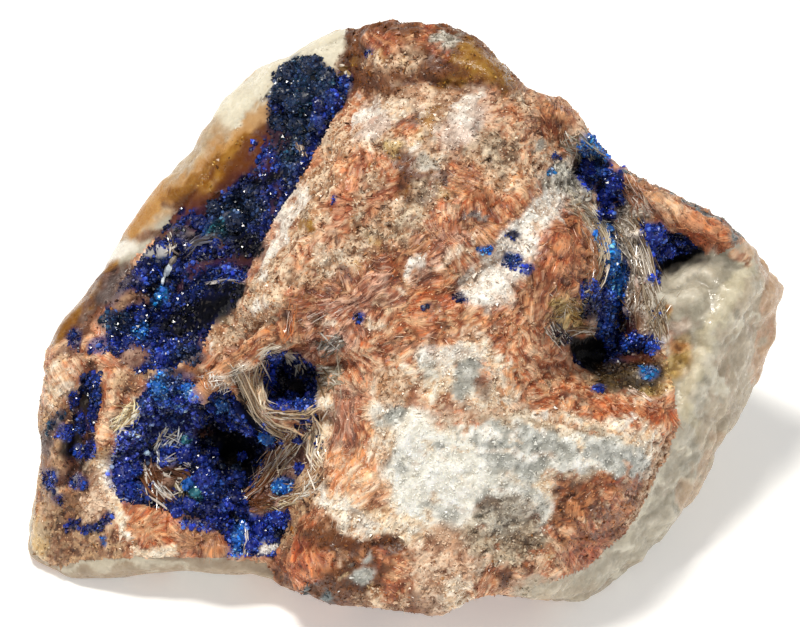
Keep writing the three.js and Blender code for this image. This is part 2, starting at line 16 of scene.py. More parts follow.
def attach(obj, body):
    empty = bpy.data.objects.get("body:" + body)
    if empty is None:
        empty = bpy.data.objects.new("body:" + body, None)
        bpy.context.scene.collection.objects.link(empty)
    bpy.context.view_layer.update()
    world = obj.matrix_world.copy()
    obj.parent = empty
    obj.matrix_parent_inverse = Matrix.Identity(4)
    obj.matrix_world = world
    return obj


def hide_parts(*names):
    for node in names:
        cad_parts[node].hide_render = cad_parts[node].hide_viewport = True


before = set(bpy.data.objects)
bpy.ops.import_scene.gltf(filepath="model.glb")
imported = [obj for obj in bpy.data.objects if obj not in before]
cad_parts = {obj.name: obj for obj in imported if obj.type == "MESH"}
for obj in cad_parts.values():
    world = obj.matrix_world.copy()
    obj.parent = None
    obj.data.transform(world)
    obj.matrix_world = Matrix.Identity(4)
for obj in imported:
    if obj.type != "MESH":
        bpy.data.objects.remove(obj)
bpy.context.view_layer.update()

MM = 0.001
PICTURE = (800, 627)
FULL_TURN = 6.28
TINY = 1e-6
FAR = 1e9
# Grains and slivers lie at most so many millimetres behind the front, on faces turned so far towards it.
SHOWN_DEPTH = 3.0
FACING = 0.35
Pixels = tuple[tuple[float, float], ...]
Colour = tuple[float, float, float]
Socket = bpy.types.NodeSocket
log = logging.getLogger("specimen")


def smooth(low: float, high: float, value: np.ndarray) -> np.ndarray:
    """Eases a value from 0 at low to 1 at high.

    Args:
        low: The value that gives 0.
        high: The value that gives 1; it may be the smaller of the two.
        value: The values to ease.

    Returns:
        The eased values, from 0 to 1.
    """
    t = np.clip((value - low) / (high - low), 0.0, 1.0)
    return t * t * (3.0 - 2.0 * t)


def to_linear(colour: Colour) -> np.ndarray:
    """Turns a display colour into the linear values that shaders take."""
    c = np.asarray(colour, dtype=float)
    return np.where(c <= 0.04045, c / 12.92, ((c + 0.055) / 1.055) ** 2.4)


def unit(vectors: np.ndarray) -> np.ndarray:
    """Returns vectors, one to a row, at unit length."""
    return vectors / np.linalg.norm(vectors, axis=1, keepdims=True)


def read(items: bpy.types.bpy_prop_collection, key: str, width: int, kind: type = float) -> np.ndarray:
    """Reads one property of all the items of a collection.

    Args:
        items: The collection, such as a mesh's vertices.
        key: The property.
        width: How many numbers each item has there.
        kind: The kind of number.

    Returns:
        One row for each item.
    """
    flat = np.empty(len(items) * width, dtype=kind)
    items.foreach_get(key, flat)
    return flat.reshape(-1, width)


def set_out(name: str, data: bpy.types.ID) -> bpy.types.Object:
    """Makes an object of the scene.

    Args:
        name: Its name.
        data: Its mesh, lamp or camera.

    Returns:
        The new object.
    """
    made = bpy.data.objects.new(name, data)
    bpy.context.scene.collection.objects.link(made)
    return made


def fill(node: bpy.types.Node, values: dict[str, object]) -> None:
    """Sets the input sockets of a node by their names."""
    for key, value in values.items():
        node.inputs[key].default_value = value


@dataclass(frozen=True)
class FaceFrame:
    """The leaning face of the rock: x runs right, v up the face and n out of it, in millimetres."""

    lean: float = math.radians(45)
    origin: tuple[float, float, float] = (-0.093, -3.189, 23.2)
    middle: tuple[float, float] = (407.0, 321.0)
    mm_per_pixel: float = 0.092

    def axes(self) -> np.ndarray:
        """Returns the face's x, v and n directions in the world, one to a row."""
        s, c = math.sin(self.lean), math.cos(self.lean)
        return np.array([[1, 0, 0], [0, s, c], [0, -c, s]])

    def from_world(self, points: np.ndarray) -> np.ndarray:
        """Turns world points in metres into face points in millimetres."""
        return (points / MM - np.array(self.origin)) @ self.axes().T

    def to_world(self, points: np.ndarray) -> np.ndarray:
        """Turns face points in millimetres into world points in metres."""
        return (points @ self.axes() + np.array(self.origin)) * MM

    def pixels(self, face: np.ndarray) -> np.ndarray:
        """Returns where face points show in the picture, in pixels."""
        across = self.middle[0] + face[:, 0] / self.mm_per_pixel
        return np.stack([across, self.middle[1] - face[:, 1] / self.mm_per_pixel], axis=1)

    def at_pixel(self, pixel: tuple[float, float]) -> tuple[float, float]:
        """Returns the x and v that show at a pixel."""
        x = (pixel[0] - self.middle[0]) * self.mm_per_pixel
        return x, (self.middle[1] - pixel[1]) * self.mm_per_pixel


FACE = FaceFrame()


class Noise:
    """Seeded random fields on points, from a hashed lattice."""

    # Large odd numbers that spread neighbouring cells apart.
    STEPS = (374761393, 668265263, 1440662683)
    SEED_STEP = 7919
    SPREAD = (1274126177, 1103515245, 668265263)
    LAYER_SHIFT = (3.1, 7.7, 1.9)

    def __init__(self, seed: int) -> None:
        """Keeps the seed that all the fields of this object share."""
        self.seed = seed

    def hashed(self, cells: np.ndarray, salt: int = 0) -> np.ndarray:
        """Gives each lattice cell a random number.

        Args:
            cells: Whole numbers, three to a row.
            salt: Another value gives another number for the same cell.

        Returns:
            One number from 0 to 1 for each row.
        """
        c = cells.astype(np.int64)
        h = c[:, 0] * self.STEPS[0] + c[:, 1] * self.STEPS[1] + c[:, 2] * self.STEPS[2]
        h = (h + (self.seed * self.SEED_STEP + salt) * self.SPREAD[0]) & 0xFFFFFFFF
        h = ((h ^ (h >> 13)) * self.SPREAD[1]) & 0xFFFFFFFF
        h = ((h ^ (h >> 15)) * self.SPREAD[2]) & 0xFFFFFFFF
        return ((h ^ (h >> 16)) & 0xFFFFFF) / float(0x1000000)

    def value(self, points: np.ndarray, size: float) -> np.ndarray:
        """Makes one smooth field.

        Args:
            points: The points to look up, one to a row.
            size: The width of its bumps.

        Returns:
            One number from 0 to 1 for each point.
        """
        p = points / size
        base = np.floor(p)
        t = p - base
        t = t * t * t * (t * (t * 6 - 15) + 10)
        total = np.zeros(len(points))
        for corner in range(8):
            step = np.array([corner & 1, corner >> 1 & 1, corner >> 2 & 1])
            weight = np.prod(np.where(step, t, 1 - t), axis=1)
            total += weight * self.hashed(base + step)
        return total

    def stir(self, points: np.ndarray, size: float, shifts: tuple[float, ...]) -> np.ndarray:
        """Returns one smooth field for each shift of the points, side by side."""
        return np.stack([self.value(points + shift, size) for shift in shifts], axis=1)

    def layered(self, points: np.ndarray, size: float, layers: int = 4, gain: float = 0.5) -> np.ndarray:
        """Sums fields of falling size into one.

        Args:
            points: The points to look up.
            size: The width of the largest bumps; each layer has bumps half as wide as the one before.
            layers: How many fields there are.
            gain: How much of its strength each layer hands on.

        Returns:
            One number from 0 to 1 for each point, centred on a half.
        """
        total, weight, sum_weight = np.zeros(len(points)), 1.0, 0.0
        for layer in range(layers):
            shift = np.array(self.LAYER_SHIFT) * layer
            total += weight * self.value(points + shift * size, size / 2**layer)
            sum_weight += weight
            weight *= gain
        return total / sum_weight

    def cells(self, points: np.ndarray, size: float) -> tuple[np.ndarray, np.ndarray, np.ndarray]:
        """Splits space into random cells.

        Args:
            points: The points to look up.
            size: The usual width of a cell.

        Returns:
            The distances to the nearest and second nearest cell centres, as shares of the size, and a
            random number that all the points of one cell share.
        """
        p = points / size
        base = np.floor(p)
        first = np.full(len(points), FAR)
        second = np.full(len(points), FAR)
        name = np.zeros(len(points))
        for i in range(27):
            cell = base + np.array([i % 3 - 1, i // 3 % 3 - 1, i // 9 - 1])
            spot = cell + np.stack([self.hashed(cell, k) for k in (1, 2, 3)], axis=1)
            d = np.linalg.norm(spot - p, axis=1)
            nearer = d < first
            second = np.where(nearer, first, np.minimum(second, d))
            name = np.where(nearer, self.hashed(cell, 4), name)
            first = np.where(nearer, d, first)
        return first, second, name


@dataclass(frozen=True)
class Mineral:
    """One look of the rock's surface.

    Args:
        colour: Its display colour.
        deep: Its darker colour, laid as painted shade in its pits, furrows and hollows, and on dark spots,
            cracks and specks.
        crown: Its paler colour, laid as painted highlight on its edges and crystals, and on pale spots,
            grains and slivers.
        rough: The roughness of its shine.
        fibre: How fibrous it is, from 0 to 1.
        pits: How pitted it is, from 0 to 1.
        sugar: How grainy it is, from 0 to 1.
        blue: How thickly azurite crystals stand on it, from 0 to 1.
    """

    colour: Colour
    deep: Colour
    crown: Colour
    rough: float = 0.6
    fibre: float = 0.0
    pits: float = 0.0
    sugar: float = 0.0
    blue: float = 0.0

    def values(self) -> np.ndarray:
        """Returns all the values in one row, in the order that Column gives."""
        colours = [to_linear(c) for c in (self.colour, self.deep, self.crown)]
        weights = [self.rough, self.fibre, self.pits, self.sugar, self.blue]
        return np.concatenate([*colours, weights, self.blue * colours[0], self.blue * colours[2]])


class Column:
    """Where each value of a look stands in its row."""

    TONE = slice(0, 3)
    DEEP = slice(3, 6)
    CROWN = slice(6, 9)
    ROUGH = 9
    FIBRE = 10
    PITS = 11
    SUGAR = 12
    BLUE = 13
    GRAINY = slice(11, 13)
    GRITTY = slice(10, 13)
    RUGGED = slice(10, 14)
    CRYSTAL = slice(14, 17)
    # The paler crystal colour that crystals with a painted highlight take.
    CRYSTAL_HIGHLIGHT = slice(17, 20)


class Look(Enum):
    """The looks that the rock's surface takes."""

    SALMON = Mineral((0.76, 0.49, 0.34), (0.42, 0.20, 0.11), (0.96, 0.84, 0.70), 0.5, 0.9, 0.1)
    ORANGE = Mineral((0.75, 0.40, 0.21), (0.42, 0.17, 0.07), (0.95, 0.78, 0.60), 0.5, 0.9, 0.1)
    RED_ORANGE = Mineral((0.66, 0.32, 0.18), (0.34, 0.12, 0.05), (0.88, 0.62, 0.44), 0.5, 0.9, 0.1)
    RED_BROWN = Mineral((0.56, 0.31, 0.19), (0.29, 0.12, 0.06), (0.84, 0.63, 0.46), 0.45, 1.0, 0.1)
    MAUVE = Mineral((0.65, 0.40, 0.30), (0.34, 0.16, 0.11), (0.93, 0.76, 0.66), 0.4, 1.0, 0.0)
    RUST = Mineral((0.38, 0.20, 0.08), (0.17, 0.07, 0.02), (0.56, 0.34, 0.16), 0.5, 0.35, 0.35)
    DARK_RUST = Mineral((0.34, 0.17, 0.08), (0.13, 0.05, 0.02), (0.58, 0.36, 0.20), 0.4, 0.2, 0.2)
    TAN = Mineral((0.70, 0.51, 0.36), (0.34, 0.19, 0.10), (0.95, 0.87, 0.76), 0.6, 0.2, 0.9, 0.4)
    BEIGE = Mineral((0.78, 0.62, 0.50), (0.46, 0.28, 0.18), (0.95, 0.86, 0.76), 0.6, 0.3, 0.4, 0.4)
    CREAM = Mineral((0.95, 0.87, 0.76), (0.66, 0.48, 0.33), (1.0, 0.98, 0.93), 0.5, 0.6, 0.3, 0.5)
    WHITE = Mineral((0.95, 0.92, 0.88), (0.70, 0.60, 0.52), (1.0, 1.0, 0.98), 0.4, 0.4, 0.1, 0.7)
    LILAC = Mineral((0.78, 0.69, 0.63), (0.50, 0.36, 0.30), (0.97, 0.91, 0.86), 0.25, 0.2, 0.2, 0.3)
    SUGAR = Mineral((0.66, 0.63, 0.57), (0.34, 0.29, 0.24), (0.92, 0.91, 0.87), 0.35, 0.0, 0.7, 0.9)
    MILKY = Mineral((0.97, 0.96, 0.92), (0.76, 0.73, 0.66), (1.0, 1.0, 0.99), 0.35, 0.0, 0.1, 0.5)
    GREY = Mineral((0.59, 0.565, 0.50), (0.45, 0.42, 0.37), (0.86, 0.84, 0.78), 0.3, 0.0, 0.0, 0.12)
    QUARTZ = Mineral((0.72, 0.69, 0.62), (0.53, 0.49, 0.42), (0.93, 0.91, 0.86), 0.34, 0.0, 0.0, 0.2)
    FLANK = Mineral((0.70, 0.64, 0.55), (0.52, 0.45, 0.36), (0.92, 0.88, 0.80), 0.34, 0.0, 0.0, 0.2)
    PEACH = Mineral((0.74, 0.60, 0.47), (0.50, 0.34, 0.24), (0.90, 0.80, 0.68), 0.3, 0.0, 0.05, 0.2)
    PALE = Mineral((0.85, 0.82, 0.74), (0.62, 0.56, 0.45), (0.96, 0.95, 0.90), 0.38, 0.0, 0.0, 0.1)
    HONEY = Mineral((0.70, 0.51, 0.28), (0.46, 0.28, 0.12), (0.86, 0.72, 0.48), 0.3, 0.0, 0.0, 0.0)
    AMBER = Mineral((0.51, 0.32, 0.08), (0.30, 0.15, 0.03), (0.80, 0.64, 0.30), 0.14, 0.0, 0.15, 0.0)
    OLIVE = Mineral((0.60, 0.50, 0.26), (0.30, 0.22, 0.08), (0.88, 0.80, 0.56), 0.4, 0.8, 0.1, 0.1)
    OCHRE = Mineral((0.70, 0.54, 0.34), (0.38, 0.24, 0.10), (0.93, 0.84, 0.68), 0.45, 0.2, 0.5, 0.6)
    GREY_CREAM = Mineral((0.74, 0.67, 0.58), (0.34, 0.26, 0.20), (0.96, 0.92, 0.86), 0.35, 1.0, 0.0, 0.1)
    SLATE = Mineral((0.30, 0.34, 0.36), (0.12, 0.14, 0.17), (0.56, 0.60, 0.60), 0.4, 0.2, 0.2, 0.3)
    CHOCOLATE = Mineral((0.26, 0.14, 0.10), (0.08, 0.04, 0.05), (0.52, 0.34, 0.26), 0.4, 0.3, 0.3, 0.2)
    MOTTLED = Mineral((0.58, 0.40, 0.28), (0.22, 0.13, 0.12), (0.86, 0.72, 0.56), 0.45, 0.3, 0.5, 0.3)
    GOLD = Mineral((0.82, 0.68, 0.46), (0.50, 0.33, 0.16), (0.98, 0.93, 0.80), 0.16, 0.0, 0.1, 0.1)
    ICE = Mineral((0.68, 0.68, 0.65), (0.48, 0.47, 0.44), (0.98, 0.98, 0.96), 0.25, 0.0, 0.1, 0.5)
    YELLOW = Mineral((0.72, 0.58, 0.30), (0.36, 0.24, 0.08), (0.90, 0.80, 0.56), 0.35, 0.0, 0.3, 0.5)
    STRIP = Mineral((0.60, 0.52, 0.43), (0.40, 0.32, 0.25), (0.84, 0.79, 0.70), 0.5, 0.0, 0.0, 0.0)
    BRICK = Mineral((0.52, 0.28, 0.14), (0.24, 0.10, 0.05), (0.80, 0.56, 0.38), 0.45, 0.8, 0.2)
    APRICOT = Mineral((0.99, 0.75, 0.54), (0.70, 0.40, 0.24), (1.0, 0.96, 0.88), 0.5, 0.8, 0.1)
    # Bright azurite, lighter than the rest as painted light where the vug's left slope faces the light; also
    # strewn through the vug.
    INDIGO = Mineral((0.30, 0.37, 0.82), (0.06, 0.08, 0.28), (0.70, 0.80, 1.0), 0.3, blue=1.0)
    ASH = Mineral((0.60, 0.50, 0.40), (0.28, 0.20, 0.14), (0.88, 0.82, 0.72), 0.4, 0.2, 0.7, 0.7)
    MATTED = Mineral((0.62, 0.55, 0.47), (0.20, 0.15, 0.13), (0.97, 0.94, 0.90), 0.35, 0.5, 0.6, 0.7)
    CREST = Mineral((0.79, 0.75, 0.63), (0.62, 0.56, 0.44), (0.92, 0.90, 0.82), 0.38, 0.0, 0.0, 0.2)
    # White of a glossy crystal with a painted highlight and painted reflection laid on it.
    WHITE_HIGHLIGHT = Mineral((0.90, 0.88, 0.84), (0.60, 0.52, 0.44), (1.0, 1.0, 1.0), 0.12, 0.0, 0.0, 0.0)
    HAZE = Mineral((0.64, 0.64, 0.61), (0.46, 0.45, 0.43), (0.92, 0.92, 0.90), 0.3, 0.0, 0.05, 0.45)
    NAVY = Mineral((0.07, 0.12, 0.40), (0.02, 0.02, 0.09), (0.20, 0.30, 0.66), 0.3, blue=1.0)
    ROYAL = Mineral((0.11, 0.19, 0.60), (0.02, 0.03, 0.16), (0.34, 0.48, 0.88), 0.3, blue=1.0)
    AZURE = Mineral((0.14, 0.42, 0.80), (0.04, 0.12, 0.40), (0.50, 0.74, 0.98), 0.3, blue=1.0)
    SLATE_NAVY = Mineral((0.11, 0.17, 0.31), (0.02, 0.03, 0.09), (0.24, 0.33, 0.48), 0.4, blue=0.8)
    # Near-black navy: dark azurite, also laid as painted shade in holes, gaps, low places and under
    # overhangs.
    DARK_NAVY_AND_SHADE = Mineral((0.03, 0.035, 0.11), (0.006, 0.006, 0.02), (0.10, 0.12, 0.34), 0.5, blue=0.5)
    # Near black, laid as painted shadow in deep holes, slits, gaps and grooves.
    PAINTED_SHADOW = Mineral((0.004, 0.004, 0.008), (0.002, 0.002, 0.003), (0.01, 0.01, 0.02), 0.9, blue=0.0)
    TEAL = Mineral((0.18, 0.46, 0.54), (0.05, 0.18, 0.28), (0.50, 0.78, 0.80), 0.3, blue=1.0)
    WISP = Mineral((0.34, 0.29, 0.28), (0.10, 0.08, 0.12), (0.62, 0.58, 0.58), 0.3, 0.6, blue=0.3)
    BROWN = Mineral((0.44, 0.29, 0.20), (0.14, 0.08, 0.06), (0.66, 0.52, 0.42), 0.3, 0.8)
    WALL_RUST = Mineral((0.38, 0.20, 0.07), (0.14, 0.06, 0.03), (0.54, 0.34, 0.14), 0.35)
    # Ochre of the cavity's floor, darkened as painted shade.
    SHADED_OCHRE = Mineral((0.16, 0.11, 0.04), (0.03, 0.015, 0.005), (0.36, 0.27, 0.12), 0.5, 0.0, 0.5, 0.5)


@dataclass(frozen=True)
class Patch:
    """A look laid on an oval of the picture, in pixels, turned anticlockwise in degrees."""

    name: str
    look: Look
    at: tuple[float, float]
    reach: tuple[float, float]
    turn: float = 0.0
    strength: float = 1.0
    soft: float = 0.35

    def cover(self, pixels: np.ndarray) -> np.ndarray:
        """Finds how fully the patch covers some places.

        Args:
            pixels: The places in the picture.

        Returns:
            One share from 0 to 1 for each place.
        """
        turn = math.radians(self.turn)
        dx, dy = pixels[:, 0] - self.at[0], self.at[1] - pixels[:, 1]
        along = (dx * math.cos(turn) + dy * math.sin(turn)) / self.reach[0]
        across = (dy * math.cos(turn) - dx * math.sin(turn)) / self.reach[1]
        return self.strength * smooth(1 + self.soft, 1 - self.soft, np.hypot(along, across))


def line_distance(pixels: np.ndarray, line: Pixels, closed: bool = False) -> np.ndarray:
    """Measures how far places lie from a line of points.

    Args:
        pixels: The places.
        line: The points that the line runs through.
        closed: Whether it runs back to its first point.

    Returns:
        The distance of each place, in the units of both.
    """
    points = [np.array(p, dtype=float) for p in line]
    ends = points[1:] + points[:1] if closed else points[1:]
    nearest = np.full(len(pixels), FAR)
    for start, end in zip(points, ends):
        run = end - start
        share = np.clip((pixels - start) @ run / max(run @ run, 1e-9), 0, 1)
        nearest = np.minimum(nearest, np.linalg.norm(pixels - start - share[:, None] * run, axis=1))
    return nearest


@dataclass(frozen=True)
class Streak:
    """A look laid along a line of pixels."""

    name: str
    look: Look
    line: Pixels
    half: float
    strength: float = 1.0
    soft: float = 0.4

    def cover(self, pixels: np.ndarray) -> np.ndarray:
        """Returns how fully the streak covers each pixel place, from 0 to 1."""
        share = line_distance(pixels, self.line) / self.half
        return self.strength * smooth(1 + self.soft, 1 - self.soft, share)


@dataclass(frozen=True)
class Field:
    """A look laid inside an outline of pixels, with an edge that fades over a few pixels."""

    name: str
    look: Look
    edge: Pixels
    strength: float = 1.0
    fade: float = 5.0

    def cover(self, pixels: np.ndarray) -> np.ndarray:
        """Finds how fully the field covers some places.

        Args:
            pixels: The places in the picture.

        Returns:
            One share from 0 to 1 for each place.
        """
        inside = np.zeros(len(pixels), dtype=bool)
        for (ax, ay), (bx, by) in zip(self.edge, self.edge[1:] + self.edge[:1]):
            if ay == by:
                continue
            crosses = (ay > pixels[:, 1]) != (by > pixels[:, 1])
            inside ^= crosses & (pixels[:, 0] < ax + (bx - ax) * (pixels[:, 1] - ay) / (by - ay))
        distance = line_distance(pixels, self.edge, closed=True)
        return self.strength * smooth(-self.fade, self.fade, np.where(inside, distance, -distance))


Mark = Patch | Streak | Field


def strewn(name: str, looks: tuple[Look, ...], line: Pixels, half: float, count: int) -> tuple[Patch, ...]:
    """Strews small patches of mixed looks along a line of pixels.

    Args:
        name: What they break up; it also seeds them.
        looks: Their looks in turn.
        line: The pixels they follow.
        half: How far from the line they lie at most, in pixels.
        count: How many there are.

    Returns:
        The patches.
    """
    random = np.random.default_rng([ord(letter) for letter in name])
    points = np.array(line, dtype=float)
    way = np.concatenate([[0], np.cumsum(np.linalg.norm(np.diff(points, axis=0), axis=1))])
    patches = []
    for i in range(count):
        share = random.uniform(0, way[-1])
        at = np.array([np.interp(share, way, points[:, k]) for k in (0, 1)])
        at = at + random.uniform(-half, half, 2)
        reach = (random.uniform(3, 9), random.uniform(2, 6))
        turn = random.uniform(0, 180)
        look = looks[i % len(looks)]
        patches.append(Patch(f"{name} {i}", look, tuple(at), reach, turn, strength=0.75, soft=0.3))
    return tuple(patches)


WALL_MARKS: tuple[Mark, ...] = (
    Field("far wall", Look.HONEY, ((380, 10), (364, 34), (350, 70), (332, 68), (318, 58), (300, 55),
          (284, 64), (274, 80), (270, 98), (262, 116), (244, 150), (206, 186), (172, 214), (150, 234),
          (120, 244), (100, 284), (70, 340), (40, 372), (10, 380), (10, 240), (200, 60), (300, 10)), 1.0, 7),
    Patch("pale top", Look.PALE, (326, 48), (60, 22), 20),
    Patch("pale upper wall", Look.PALE, (246, 92), (44, 32), 50),
    Streak("honey line", Look.HONEY, ((272, 112), (244, 132), (214, 154), (190, 172)), 8, 0.8),
    Patch("grey band of the wall", Look.FLANK, (190, 150), (44, 15), 48, 0.8),
    Streak("amber band", Look.AMBER, ((250, 142), (222, 164), (196, 184), (176, 200)), 9, 0.9),
    Streak("rust by the crust", Look.WALL_RUST, ((268, 128), (250, 152), (228, 174), (202, 198),
           (176, 216)), 8, 0.9),
    Streak("amber left rim", Look.AMBER, ((104, 268), (80, 300), (58, 334), (44, 356)), 10),
    Streak("brown left rim", Look.DARK_RUST, ((112, 280), (92, 312), (72, 340)), 8, 0.9),
)

LENS_MARKS: tuple[Mark, ...] = (
    Field("milky core", Look.MILKY, ((382, 474), (398, 442), (424, 424), (452, 424), (474, 444), (504, 458),
          (508, 482), (484, 500), (472, 524), (440, 532), (410, 520), (390, 502)), 1.0, 8),
    Field("ice band", Look.ICE, ((466, 428), (486, 416), (512, 420), (540, 430), (600, 440), (642, 452),
          (658, 476), (640, 484), (600, 470), (560, 472), (520, 478), (486, 466)), 1.0, 6),
    Streak("white line of the band", Look.WHITE, ((478, 446), (520, 452), (566, 462), (600, 462)), 5, 0.7),
    Field("lower ice", Look.ICE, ((484, 482), (524, 478), (548, 500), (548, 528), (520, 546), (488, 530),
          (474, 508)), 0.9, 6),
    *strewn("band", (Look.ICE, Look.WHITE, Look.MILKY, Look.CREAM, Look.MILKY, Look.HAZE),
            ((400, 470), (450, 440), (520, 440), (640, 465)), 20, 44),
    *strewn("core", (Look.WHITE, Look.MILKY, Look.CREAM, Look.ICE, Look.MILKY),
            ((400, 500), (470, 500), (540, 510)), 24, 36),
    Patch("upper ice", Look.HAZE, (462, 380), (13, 26), -8, 0.95),
    Patch("upper milk", Look.WHITE, (446, 350), (26, 10), 6, 0.9),
    Patch("left ice", Look.ICE, (424, 366), (10, 12), 20, 0.7),
    Patch("brown right of the ice", Look.RUST, (482, 386), (10, 12), 60, 0.7),
    Streak("beige saddle", Look.BEIGE, ((424, 408), (456, 414), (490, 412)), 9, 0.9),
    Patch("orange in the cream", Look.ORANGE, (412, 400), (12, 7), 20, 0.7),
    Patch("left milk", Look.MILKY, (412, 422), (22, 16), 30, 0.8),
    Patch("slate chip", Look.HAZE, (384, 470), (12, 6), 30, 0.8),
    Patch("yellow crumbs", Look.YELLOW, (378, 522), (14, 12), 0, 0.6),
    Patch("rust crumbs", Look.RUST, (486, 510), (14, 9), 20, 0.8),
    Patch("orange crumb", Look.ORANGE, (508, 528), (9, 7), 0, 0.8),
    Patch("dark crumb", Look.DARK_RUST, (464, 538), (7, 6), 0, 0.8),
    Patch("low milk", Look.CREAM, (452, 548), (10, 16), 0, 0.8),
    Patch("ice left of the core", Look.ICE, (398, 450), (13, 9), 40, 0.6),
    Streak("ice vein", Look.ICE, ((424, 500), (444, 512), (456, 530)), 5, 0.6),
    Streak("white vein", Look.WHITE, ((500, 486), (520, 500), (530, 520)), 4, 0.8),
    Streak("brown edge of the band", Look.ASH, ((556, 478), (590, 478), (620, 486)), 6, 0.8),
    Streak("brown edge over the band", Look.ASH, ((486, 414), (520, 416), (556, 428), (600, 436)), 4, 0.7),
    Patch("orange by the saddle", Look.SALMON, (440, 402), (14, 8), 10, 0.7),
)

